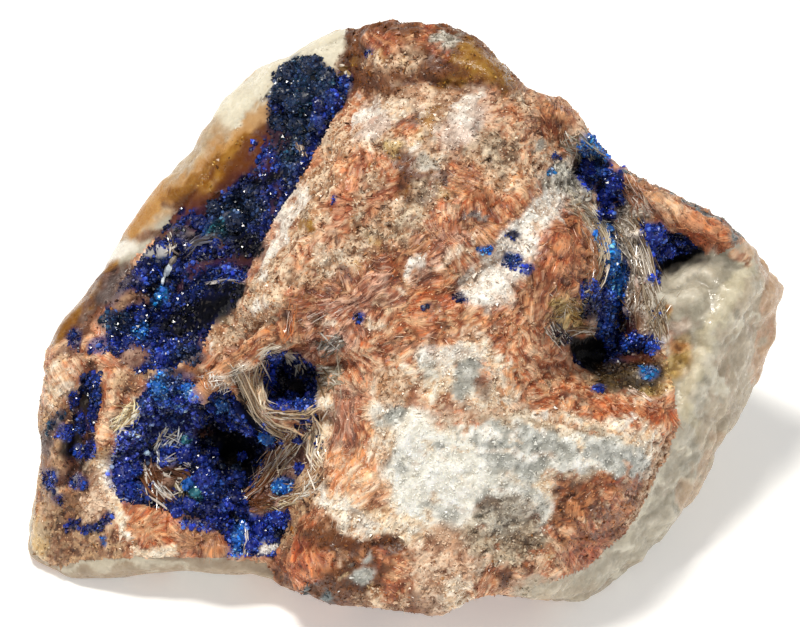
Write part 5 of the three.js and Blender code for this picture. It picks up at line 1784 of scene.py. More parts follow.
    def fibrous(self, noise: Noise, grain: np.ndarray) -> np.ndarray:
        """Works out the relief of bundled fibres in millimetres.

        Args:
            noise: The body's own noise.
            grain: The vertices' places in the run of the fibres.

        Returns:
            One number for each vertex.
        """
        bundles = noise.layered(grain * np.array([1.3, 0.2, 1.0]), 0.9, 3, 0.6) - 0.5
        slivers = noise.cells(grain * np.array([2.4, 0.6, 1.0]), 1.0)
        return 0.6 * bundles + 0.22 * (slivers[2] - 0.5) * smooth(0.0, 0.2, slivers[1] - slivers[0])

    def pitted(self, noise: Noise, face: np.ndarray) -> np.ndarray:
        """Works out the depth of pores and pits in millimetres.

        Args:
            noise: The body's own noise.
            face: Its vertices in the face frame.

        Returns:
            One number for each vertex.
        """
        stir = noise.stir(face, 0.8, (3.0, 13.0, 33.0))
        small = noise.cells(face + 0.7 * stir, 1.1)
        large = noise.cells(face + 1.4 * stir + 9.0, 2.6)
        depth = 0.4 * smooth(0.42, 0.12, small[0]) * (small[2] > 0.5)
        return depth + 0.9 * smooth(0.36, 0.1, large[0]) * (large[2] > 0.6)

    def sugary(self, noise: Noise, face: np.ndarray) -> np.ndarray:
        """Works out the relief of packed grains in millimetres.

        Args:
            noise: The body's own noise.
            face: Its vertices in the face frame.

        Returns:
            One number for each vertex.
        """
        stir = noise.stir(face, 1.1, (5.0, 15.0, 25.0))
        grains = noise.cells(face + 0.9 * stir, 0.9)
        fine = noise.layered(face, 0.7, 2, 0.6) - 0.5
        return 0.16 * (grains[2] - 0.5) * smooth(0.0, 0.25, grains[1] - grains[0]) + 0.35 * fine

    def knobby(self, noise: Noise, face: np.ndarray) -> np.ndarray:
        """Works out the relief of rounded crystal clusters in millimetres.

        Args:
            noise: The body's own noise.
            face: Its vertices in the face frame.

        Returns:
            One number for each vertex.
        """
        large = noise.cells(face, 1.9)
        small = noise.cells(face + 5.0, 0.75)
        lumps = 0.7 * smooth(0.8, 0.1, large[0]) * (0.4 + large[2])
        return lumps + 0.25 * smooth(0.7, 0.1, small[0]) - 0.25

    def colour(self, noise: Noise, face: np.ndarray, grain: np.ndarray) -> dict[str, np.ndarray]:
        """Shades the painted colour: painted shade in hollows, painted highlight on edges, and uneven in
        spots and slivers.

        Args:
            noise: The body's own noise.
            face: Its vertices in the face frame.
            grain: Their places in the run of the fibres.

        Returns:
            The fields that the finish reads, by name.
        """
        skin, looks = self.skin, self.looks
        small = skin.hollowness(self.FINE_ROUNDS)
        large = skin.hollowness(self.WIDE_ROUNDS)
        patchy = noise.layered(face, 1.1, 4, 0.6) - 0.5
        streaky = noise.layered(grain * np.array([1.0, 0.12, 1.0]), 0.38, 3, 0.6) - 0.5
        fibre, blue = looks[:, Column.FIBRE], looks[:, Column.BLUE]
        grit = np.clip(looks[:, Column.GRITTY].sum(axis=1), 0, 1) * (1 - blue)
        stir = noise.stir(face, 0.9, (7.0, 17.0, 27.0))
        spot = noise.cells(face + 1.2 * stir, 1.0)[2]
        sliver = noise.cells(grain * np.array([2.6, 0.6, 1.0]), 0.9)[2]
        pick = np.where(fibre > 0.45, 0.65 * sliver + 0.35 * spot, spot)
        uneven = (1 - fibre) * patchy + fibre * (0.5 * patchy + 0.8 * streaky)
        soft = 0.3 + 0.7 * np.maximum(grit, blue)
        # Painted shade in hollows and painted highlight on convex edges, from how far each vertex lies under
        # its surroundings; the spots, blocks and cracks below are the rock's own.
        deep = soft * smooth(0.01, 0.12, small + 0.35 * large + 0.14 * uneven)
        crown = soft * smooth(0.01, 0.12, -small - 0.2 * large + 0.24 * uneven)
        block = noise.cells(face + 3.0 * stir, 2.1)
        firm = grit * smooth(0.02, 0.14, block[1] - block[0])
        crown = np.maximum(crown, 0.7 * grit * smooth(0.72, 0.8, pick))
        crown = np.maximum(crown, 0.65 * firm * smooth(0.78, 0.82, block[2]) * (0.4 + patchy))
        deep = np.maximum(deep, 0.45 * grit * smooth(0.28, 0.2, pick))
        deep = np.maximum(deep, 0.5 * firm * smooth(0.12, 0.09, block[2]))
        crack = grit * smooth(0.07, 0.0, block[1] - block[0]) * smooth(0.45, 0.6, noise.value(face, 1.6))
        deep = np.maximum(deep, 0.9 * crack)
        # Painted shade for the crystals that grow here: darker in hollows, lighter on rounded tops.
        self.shade = 0.25 + 0.95 * smooth(0.10, -0.08, small + 0.4 * large)
        plain = looks[:, Column.TONE]
        # Painted shade on the bed under the crystals.
        shaded = 1 - self.BLUE_SHADE * blue
        tone = plain * shaded[:, None]
        level = np.minimum(1.1, plain.mean(axis=1) / 0.28)[:, None]
        warmth = smooth(0.15, 0.5, 1 - plain[:, 2] / plain[:, 0])
        for colour, low, high in self.BLOCK_TONES:
            chosen = firm * warmth * smooth(low, low + 0.03, block[2]) * smooth(high, high - 0.03, block[2])
            tone = tone + self.BLOCK_SHARE * chosen[:, None] * (level * to_linear(colour) - tone)
        # The deep colour goes on as painted shade and the crown colour as painted highlight, together with
        # the spots above.
        tone = tone + (self.DEEP_SHARE * deep)[:, None] * (looks[:, Column.DEEP] - tone)
        tone = tone + (self.CROWN_SHARE * crown * shaded)[:, None] * (looks[:, Column.CROWN] - tone)
        warm = (grit * fibre * smooth(0.4, 0.45, pick) * smooth(0.58, 0.52, pick))[:, None]
        tone = tone * (1 + warm * np.array(self.WARM_GAIN))
        tone = np.clip(tone * (1 + 0.5 * soft * uneven)[:, None], 0, 1)
        tone = np.concatenate([tone, np.ones((skin.count, 1))], axis=1)
        grit = 0.15 + 0.85 * np.maximum(grit, 0.6 * blue)
        return {"tone": tone, "grit": grit, "rough": looks[:, Column.ROUGH], "fibre": fibre}


class Scatter:
    """Places small shapes by arrays and joins them in one mesh."""

    def __init__(self, name: str) -> None:
        """Starts an empty collection of shapes.

        Args:
            name: The name of the joined piece.
        """
        self.name = name
        self.places: list[np.ndarray] = []
        self.faces: list[np.ndarray] = []
        self.tones: list[np.ndarray] = []
        self.count = 0

    def add(self, shape: tuple[np.ndarray, np.ndarray], frames: np.ndarray, at: np.ndarray,
            tones: np.ndarray) -> None:
        """Adds many copies of one shape.

        Args:
            shape: The shape's vertices, and its triangles as vertex numbers.
            frames: For each copy a matrix whose columns are the shape's own axes with their sizes.
            at: For each copy its place in metres.
            tones: For each copy its linear colour.
        """
        corners, triangles = shape
        places = np.einsum("nij,kj->nki", frames, corners) + at[:, None]
        offsets = self.count + np.arange(len(at)) * len(corners)
        self.places.append(places.reshape(-1, 3))
        self.faces.append((triangles[None] + offsets[:, None, None]).reshape(-1, 3))
        self.tones.append(np.repeat(tones, len(corners), axis=0))
        self.count += len(at) * len(corners)

    def piece(self, material: bpy.types.Material, slot: str) -> bpy.types.Object:
        """Joins all the copies in one object with flat faces.

        Args:
            material: Its material.
            slot: Not used.

        Returns:
            The new object.
        """
        places, faces = np.concatenate(self.places), np.concatenate(self.faces)
        tones = np.concatenate(self.tones)
        mesh = mesh_of(self.name, places, faces)
        mesh.shade_flat()
        mesh.validate()
        attribute = mesh.attributes.new("tone", "FLOAT_COLOR", "POINT")
        colours = np.concatenate([np.clip(tones, 0, 1), np.ones((len(tones), 1))], axis=1)
        attribute.data.foreach_set("color", colours.astype(np.float32).ravel())
        mesh.materials.append(material)
        piece = set_out(self.name, mesh)
        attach(piece, "root")
        log.info("%s: %d triangles", self.name, len(faces))
        return piece


def shape_of(bm: bmesh.types.BMesh) -> tuple[np.ndarray, np.ndarray]:
    """Reads a small shape out of a bmesh and frees it.

    Args:
        bm: The bmesh.

    Returns:
        The shape's vertices, and its triangles as vertex numbers.
    """
    bmesh.ops.triangulate(bm, faces=bm.faces)
    bmesh.ops.recalc_face_normals(bm, faces=bm.faces)
    bm.verts.ensure_lookup_table()
    corners = np.array([v.co[:] for v in bm.verts])
    triangles = np.array([[v.index for v in f.verts] for f in bm.faces])
    bm.free()
    return corners, triangles


def grain_shape() -> tuple[np.ndarray, np.ndarray]:
    """Makes a pointed crystal grain with six faces and unit radius.

    Returns:
        The grain's vertices, and its triangles as vertex numbers.
    """
    bm = bmesh.new()
    bmesh.ops.create_cone(bm, cap_ends=False, segments=3, radius1=1, radius2=0, depth=1,
                          matrix=Matrix.Translation((0, 0, 0.5)))
    bmesh.ops.create_cone(bm, cap_ends=False, segments=3, radius1=0, radius2=1, depth=1,
                          matrix=Matrix.Translation((0, 0, -0.5)))
    bmesh.ops.remove_doubles(bm, verts=bm.verts, dist=1e-4)
    return shape_of(bm)


def knot_shape() -> tuple[np.ndarray, np.ndarray]:
    """Makes a rounded crystal knot with twenty faces and unit radius."""
    bm = bmesh.new()
    bmesh.ops.create_icosphere(bm, subdivisions=1, radius=1)
    return shape_of(bm)


def blade_shape() -> tuple[np.ndarray, np.ndarray]:
    """Makes a long blade of unit length along Z from its root, tapering to a chisel tip."""
    bm = bmesh.new()
    bmesh.ops.create_cone(bm, cap_ends=True, cap_tris=True, segments=4, radius1=1, radius2=0.35, depth=1,
                          matrix=Matrix.Translation((0, 0, 0.5)))
    return shape_of(bm)


def standing_frames(up: np.ndarray, turn: np.ndarray) -> np.ndarray:
    """Makes unit frames whose third axis is given.

    Args:
        up: The third axis of each frame, of unit length.
        turn: How far each frame is turned about it, in radians.

    Returns:
        One matrix for each, with the axes in its columns.
    """
    helper = np.where(np.abs(up[:, [2]]) < 0.9, [[0.0, 0.0, 1.0]], [[1.0, 0.0, 0.0]])
    side = unit(np.cross(helper, up))
    other = np.cross(up, side)
    c, s = np.cos(turn)[:, None], np.sin(turn)[:, None]
    return np.stack([c * side + s * other, c * other - s * side, up], axis=2)


def sample_surface(piece: bpy.types.Object, count: int,
                   random: np.random.Generator) -> tuple[np.ndarray, np.ndarray, np.ndarray]:
    """Picks places evenly on a piece's surface.

    Args:
        piece: The piece, a mesh without modifiers.
        count: How many places.
        random: The source of chance.

    Returns:
        The places, the surface normals there, and the nearest vertex of each.
    """
    mesh = piece.data
    mesh.calc_loop_triangles()
    triangles = read(mesh.loop_triangles, "vertices", 3, np.int64)
    place = read(mesh.vertices, "co", 3)
    a, b, c = (place[triangles[:, i]] for i in range(3))
    normal = np.cross(b - a, c - a)
    area = np.linalg.norm(normal, axis=1)
    pick = random.choice(len(triangles), count, p=area / area.sum())
    u, v = random.random(count), random.random(count)
    over = u + v > 1
    u, v = np.where(over, 1 - u, u), np.where(over, 1 - v, v)
    at = a[pick] + u[:, None] * (b - a)[pick] + v[:, None] * (c - a)[pick]
    return at, normal[pick] / area[pick, None], triangles[pick, 0]


@dataclass(frozen=True)
class Ball:
    """A rounded cluster of azurite crystals at a pixel, with its radius in pixels and its lift in radii."""

    at: tuple[float, float]
    radius: float
    look: Look = Look.ROYAL
    lift: float = 0.3


BALLS: tuple[Ball, ...] = (
    Ball((205, 482), 14), Ball((195, 493), 7, Look.TEAL, 0.9), Ball((190, 485), 8, Look.AZURE, 0.7),
    Ball((224, 404), 8, Look.AZURE), Ball((212, 407), 6), Ball((186, 440), 6, Look.TEAL),
    Ball((243, 457), 6), Ball((236, 470), 6, Look.SLATE_NAVY), Ball((205, 440), 6, Look.SLATE_NAVY),
    Ball((213, 453), 6), Ball((222, 468), 5, Look.SLATE_NAVY), Ball((232, 498), 9, Look.NAVY),
    Ball((240, 512), 8, Look.NAVY), Ball((190, 506), 10), Ball((176, 512), 7),
    Ball((208, 508), 9, Look.NAVY), Ball((122, 474), 14), Ball((127, 491), 11), Ball((134, 470), 8),
    Ball((284, 487), 10, Look.AZURE), Ball((279, 519), 9), Ball((268, 437), 9, Look.AZURE),
    Ball((158, 386), 10, Look.AZURE), Ball((188, 388), 7, Look.AZURE), Ball((178, 397), 8),
    Ball((141, 333), 7, Look.AZURE), Ball((161, 358), 8), Ball((166, 450), 12), Ball((184, 456), 9),
    Ball((199, 461), 8), Ball((250, 430), 7), Ball((234, 424), 7), Ball((300, 438), 7),
    Ball((302, 470), 8), Ball((262, 532), 10), Ball((250, 545), 8), Ball((236, 538), 7, Look.AZURE),
    Ball((274, 358), 7), Ball((300, 404), 6), Ball((214, 208), 9, Look.SLATE_NAVY),
    Ball((236, 222), 10, Look.SLATE_NAVY), Ball((200, 222), 9, Look.NAVY),
    Ball((252, 206), 8, Look.SLATE_NAVY), Ball((290, 72), 13, Look.SLATE_NAVY),
    Ball((312, 66), 12, Look.SLATE_NAVY), Ball((282, 92), 11, Look.SLATE_NAVY),
    Ball((326, 76), 10, Look.SLATE_NAVY), Ball((306, 96), 13, Look.SLATE_NAVY),
    Ball((298, 124), 11, Look.SLATE_NAVY), Ball((322, 104), 9, Look.NAVY), Ball((278, 108), 8, Look.NAVY),
    Ball((606, 196), 10), Ball((590, 166), 9), Ball((616, 182), 9), Ball((656, 236), 9),
    Ball((668, 250), 8), Ball((618, 278), 9, Look.AZURE),
)


@dataclass
class BallCluster:
    """All the listed crystal balls, joined in one mesh.

    Args:
        name: The name of the piece.
        seed: Seeds their small dents.
    """

    name: str
    seed: int

    # How deep their centres are set, in radii, the width of their dents in millimetres and their flatness.
    SUNK = 0.6
    DENT = 0.8
    FLATNESS = 0.9

    def build(self, caster: "Caster", bed: bpy.types.Material) -> None:
        """Sets each ball on the surface behind its pixel.

        Args:
            caster: Finds the surface.
            bed: The balls' material.
        """
        noise = Noise(self.seed)
        bm = bmesh.new()
        tones = []
        looks = []
        for ball in BALLS:
            hit = caster.surface(ball.at)
            if hit is None:
                continue
            radius = ball.radius * FACE.mm_per_pixel
            made = bmesh.ops.create_icosphere(bm, subdivisions=3, radius=radius * MM)["verts"]
            place = np.array([v.co[:] for v in made])
            centre = hit[0] + np.array([0, 0, (ball.lift - self.SUNK) * radius])
            world = FACE.to_world(centre[None])[0]
            dents = noise.cells((place + world) / MM, self.DENT)[0]
            scale = 0.82 + 0.3 * smooth(0.8, 0.1, dents)
            for vert, co, s in zip(made, place, scale):
                vert.co = Vector(co * s * np.array([1, 1, self.FLATNESS]) + world)
            values = ball.look.value.values()
            looks.append(np.repeat(values[None], len(made), axis=0))
            shade = 0.35 + 0.5 * smooth(0.9, 0.2, dents)
            tones.append(values[None, Column.TONE] * shade[:, None])
        mesh = bpy.data.meshes.new(self.name)
        bm.to_mesh(mesh)
        bm.free()
        self.looks = np.concatenate(looks)
        self.shade = np.full(len(self.looks), 0.9)
        self.skin = Skin(mesh)
        tone = np.concatenate(tones)
        self.skin.write("tone", np.concatenate([tone, np.ones((len(tone), 1))], axis=1))
        mesh.materials.append(bed)
        self.piece = set_out(self.name, mesh)
        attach(self.piece, "root")


Grown = list[RockBody | BallCluster]


@dataclass
class CrystalGrains:
    """Small azurite crystals on every painted blue place of some bodies.

    Args:
        name: The name of the piece.
        shape: The crystal's vertices and triangles.
        density: How many grow on a square millimetre of full blue.
        size: The usual radius of a crystal in millimetres.
        seed: Seeds them.
        stretch: The least and greatest length, as a share of the radius.
        bright: The share of crystals painted in a paler colour, as painted highlights.
        white: The share of crystals painted with a white glint, as painted highlights.
    """

    name: str
    shape: tuple[np.ndarray, np.ndarray]
    density: float
    size: float
    seed: int
    stretch: tuple[float, float] = (1.0, 2.2)
    bright: float = 0.22
    white: float = 0.002

    LEAN = 0.6
    # How far behind the front, on faces turned how far away and on what blue they still grow.
    DEPTH = 3.5
    BACKWARD = -0.4
    LEAST_BLUE = 0.3
    # How high they stand over the rock, in radii.
    RAISED = 0.2
    TEAL_GAIN = (-0.2, 0.7, 0.05)
    GLINT = (0.72, 0.76, 0.92)

    def build(self, bodies: Grown, front: Front, material: bpy.types.Material) -> None:
        """Grows the crystals.

        Args:
            bodies: What they grow on; each has a piece and its looks by vertex.
            front: Tells the shown face from hidden sides.
            material: The crystals' material.
        """
        random = np.random.default_rng(self.seed)
        scatter = Scatter(self.name)
        noise = Noise(self.seed)
        for body in bodies:
            area = sum(p.area for p in body.piece.data.polygons) / MM**2
            at, normal, vertex = sample_surface(body.piece, int(self.density * area), random)
            face = FACE.from_world(at)
            blue = body.looks[vertex, Column.BLUE]
            ragged = smooth(0.3, 0.55, noise.layered(face, 0.8, 2) + 0.6 * (blue - 0.5))
            keep = (front.depth(face) < self.DEPTH) & (random.random(len(at)) < ragged)
            keep &= (normal @ FACE.axes()[2] > self.BACKWARD) & (blue > self.LEAST_BLUE)
            at, normal, face, looks = at[keep], normal[keep], face[keep], body.looks[vertex][keep]
            cloud = smooth(0.36, 0.62, noise.layered(face + 50.0, 2.4, 2))[:, None]
            teal = smooth(0.52, 0.72, noise.layered(face + 90.0, 3.1, 2))[:, None]
            shade = body.shade[vertex][keep][:, None] * (0.68 + 0.75 * cloud)
            blue = looks[:, [Column.BLUE]]
            colour, crown = looks[:, Column.CRYSTAL] / blue, looks[:, Column.CRYSTAL_HIGHLIGHT] / blue
            colour = colour * (1 + teal * np.array(self.TEAL_GAIN))
            made = len(at)
            if made == 0:
                continue
            up = unit(normal + random.normal(0, self.LEAN, (made, 3)))
            radius = self.size * random.uniform(0.55, 1.35, (made, 1)) ** 2 * MM
            girth = random.uniform(0.7, 1.3, (made, 2))
            sizes = radius * np.concatenate([girth, random.uniform(*self.stretch, (made, 1))], axis=1)
            frames = standing_frames(up, random.uniform(0, FULL_TURN, made)) * sizes[:, None, :]
            tones = colour * random.uniform(0.3, 1.45, (made, 1)) ** 1.5 * shade
            # Painted highlights: a share of the crystals takes the paler crystal colour, and a few a white
            # glint, each under the painted shade.
            chance = random.random((made, 1))
            tones = np.where(chance < self.bright, crown * shade, tones)
            tones = np.where(chance > 1 - self.white, to_linear(self.GLINT) * shade, tones)
            scatter.add(self.shape, frames, at + self.RAISED * radius * normal, tones)
        scatter.piece(material, "azurite")


@dataclass
class MineralGlints:
    """Small pale, dark and amber grains strewn over one body of rock.

    Args:
        name: The name of the piece.
        count: How many there are.
        seed: Seeds them.
        size: Half their width, depth and length in millimetres.
        dark: The share of dark ones.
        crumbs: Whether they lie only where the rock is pitted or sugary, and vary more.
    """

    name: str
    count: int
    seed: int
    size: tuple[float, float, float] = (0.055, 0.055, 0.12)
    dark: float = 0.3
    crumbs: bool = False

    LEAN = 0.8
    # Places tried for each grain.
    SPARE = 7
    AMBER = (0.66, 0.42, 0.16)
    AMBER_FROM = 0.96

    def build(self, body: RockBody, front: Front, material: bpy.types.Material) -> None:
        """Strews the grains.

        Args:
            body: The rock they lie on.
            front: Tells the shown face from hidden sides.
            material: The grains' material.
        """
        random = np.random.default_rng(self.seed)
        at, normal, vertex = sample_surface(body.piece, self.SPARE * self.count, random)
        keep = front.depth(FACE.from_world(at)) < SHOWN_DEPTH
        if self.crumbs:
            keep &= random.random(len(at)) < body.looks[vertex, Column.GRAINY].sum(axis=1)
            keep &= normal @ FACE.axes()[2] > FACING
        at, normal, looks = (x[keep][: self.count] for x in (at, normal, body.looks[vertex]))
        made = len(at)
        kind = random.random(made)[:, None]
        tones = np.where(kind < self.dark, looks[:, Column.DEEP] * 0.9, looks[:, Column.CROWN])
        if self.crumbs:
            tones = np.where((kind > self.AMBER_FROM) & (self.dark > 0), to_linear(self.AMBER), tones)
            tones += random.uniform(0.1, 1.0, (made, 1)) * (looks[:, Column.TONE] - tones)
        up = unit(normal + random.normal(0, self.LEAN, (made, 3)))
        sizes = np.array(self.size) * random.uniform(0.5, 1.6, (made, 3)) * MM
        sizes *= np.exp(random.normal(0, 0.3 * self.crumbs, (made, 1)))
        frames = standing_frames(up, random.uniform(0, FULL_TURN, made)) * sizes[:, None, :]
        scatter = Scatter(self.name)
        scatter.add(grain_shape(), frames, at, tones)
        scatter.piece(material, "matrix" if body.slot == "azurite" else body.slot)


@dataclass
class FibreTufts:
    """Slivers of fibrous mineral lying on a body of rock along the fans.

    Args:
        name: The name of the piece.
        body: The rock body they lie on.
        count: How many there are.
        seed: Seeds them.
        length: Half their length in millimetres, least and most.
        width: Half their width in millimetres.
    """

    name: str
    body: RockBody
    count: int
    seed: int
    length: tuple[float, float] = (0.3, 1.0)
    width: float = 0.028

    # Places tried for each sliver, and how deep it is sunk in millimetres.
    SPARE = 6
    SUNK = 0.02
    PALE_SHARE = 0.7

    def build(self, front: Front, fibres: FibreField, material: bpy.types.Material) -> None:
        """Lays the slivers.

        Args:
            front: Tells the shown face from hidden sides.
            fibres: The fans of fibres.
            material: Their material.
        """
        random = np.random.default_rng(self.seed)
        piece = self.body.piece
        at, normal, vertex = sample_surface(piece, self.SPARE * self.count, random)
        face = FACE.from_world(at)
        weight = read(piece.data.attributes["fibre"].data, "value", 1)[:, 0]
        tone = read(piece.data.attributes["tone"].data, "color", 4)[:, :3]
        keep = (front.depth(face) < SHOWN_DEPTH) & (random.random(len(at)) < weight[vertex] ** 2)
        keep &= normal @ FACE.axes()[2] > FACING
        at, normal, face, vertex = (x[keep][: self.count] for x in (at, normal, face, vertex))
        pixels = FACE.pixels(face)
        flow = fibres.direction(pixels, fibres.owner(pixels))
        way = flow @ FACE.axes()[:2] * np.where(random.random(len(at)) < 0.5, -1, 1)[:, None]
        way += random.normal(0, 0.12, way.shape)
        way -= np.einsum("ij,ij->i", way, normal)[:, None] * normal
        way = unit(unit(way) + normal * random.uniform(-0.02, 0.12, (len(at), 1)))
        length = random.uniform(*self.length, (len(at), 1))
        width = self.width * random.uniform(0.6, 1.6, (len(at), 1))
        sizes = np.concatenate([width, 0.6 * width, length], axis=1) * MM
        frames = standing_frames(way, random.uniform(0, FULL_TURN, len(at))) * sizes[:, None, :]
        pale = self.PALE_SHARE * random.uniform(0, 1, (len(at), 1)) ** 2
        tones = tone[vertex] * (1 - pale) + pale * self.body.looks[vertex, Column.CROWN]
        scatter = Scatter(self.name)
        scatter.add(blade_shape(), frames, at - self.SUNK * MM * normal, tones)
        scatter.piece(material, "matrix")


@dataclass(frozen=True)
class Sheaf:
    """A bundle of curved fibres along a line of pixels.

    Args:
        name: What it is.
        line: The pixels it runs through.
        half: Half its width in pixels.
        count: How many fibres it has.
        colour: Their display colour.
        width: Their half width in millimetres.
        lift: How high they lie over the rock in millimetres.
        bridge: How far they run straight from end to end over what lies between, from 0 to 1.
        start: How wide the bundle is at its start, as a share of its full width.
    """

    name: str
    line: Pixels
    half: float
    count: int
    colour: Colour
    width: float = 0.06
    lift: float = 0.25
    bridge: float = 0.0
    start: float = 1.0


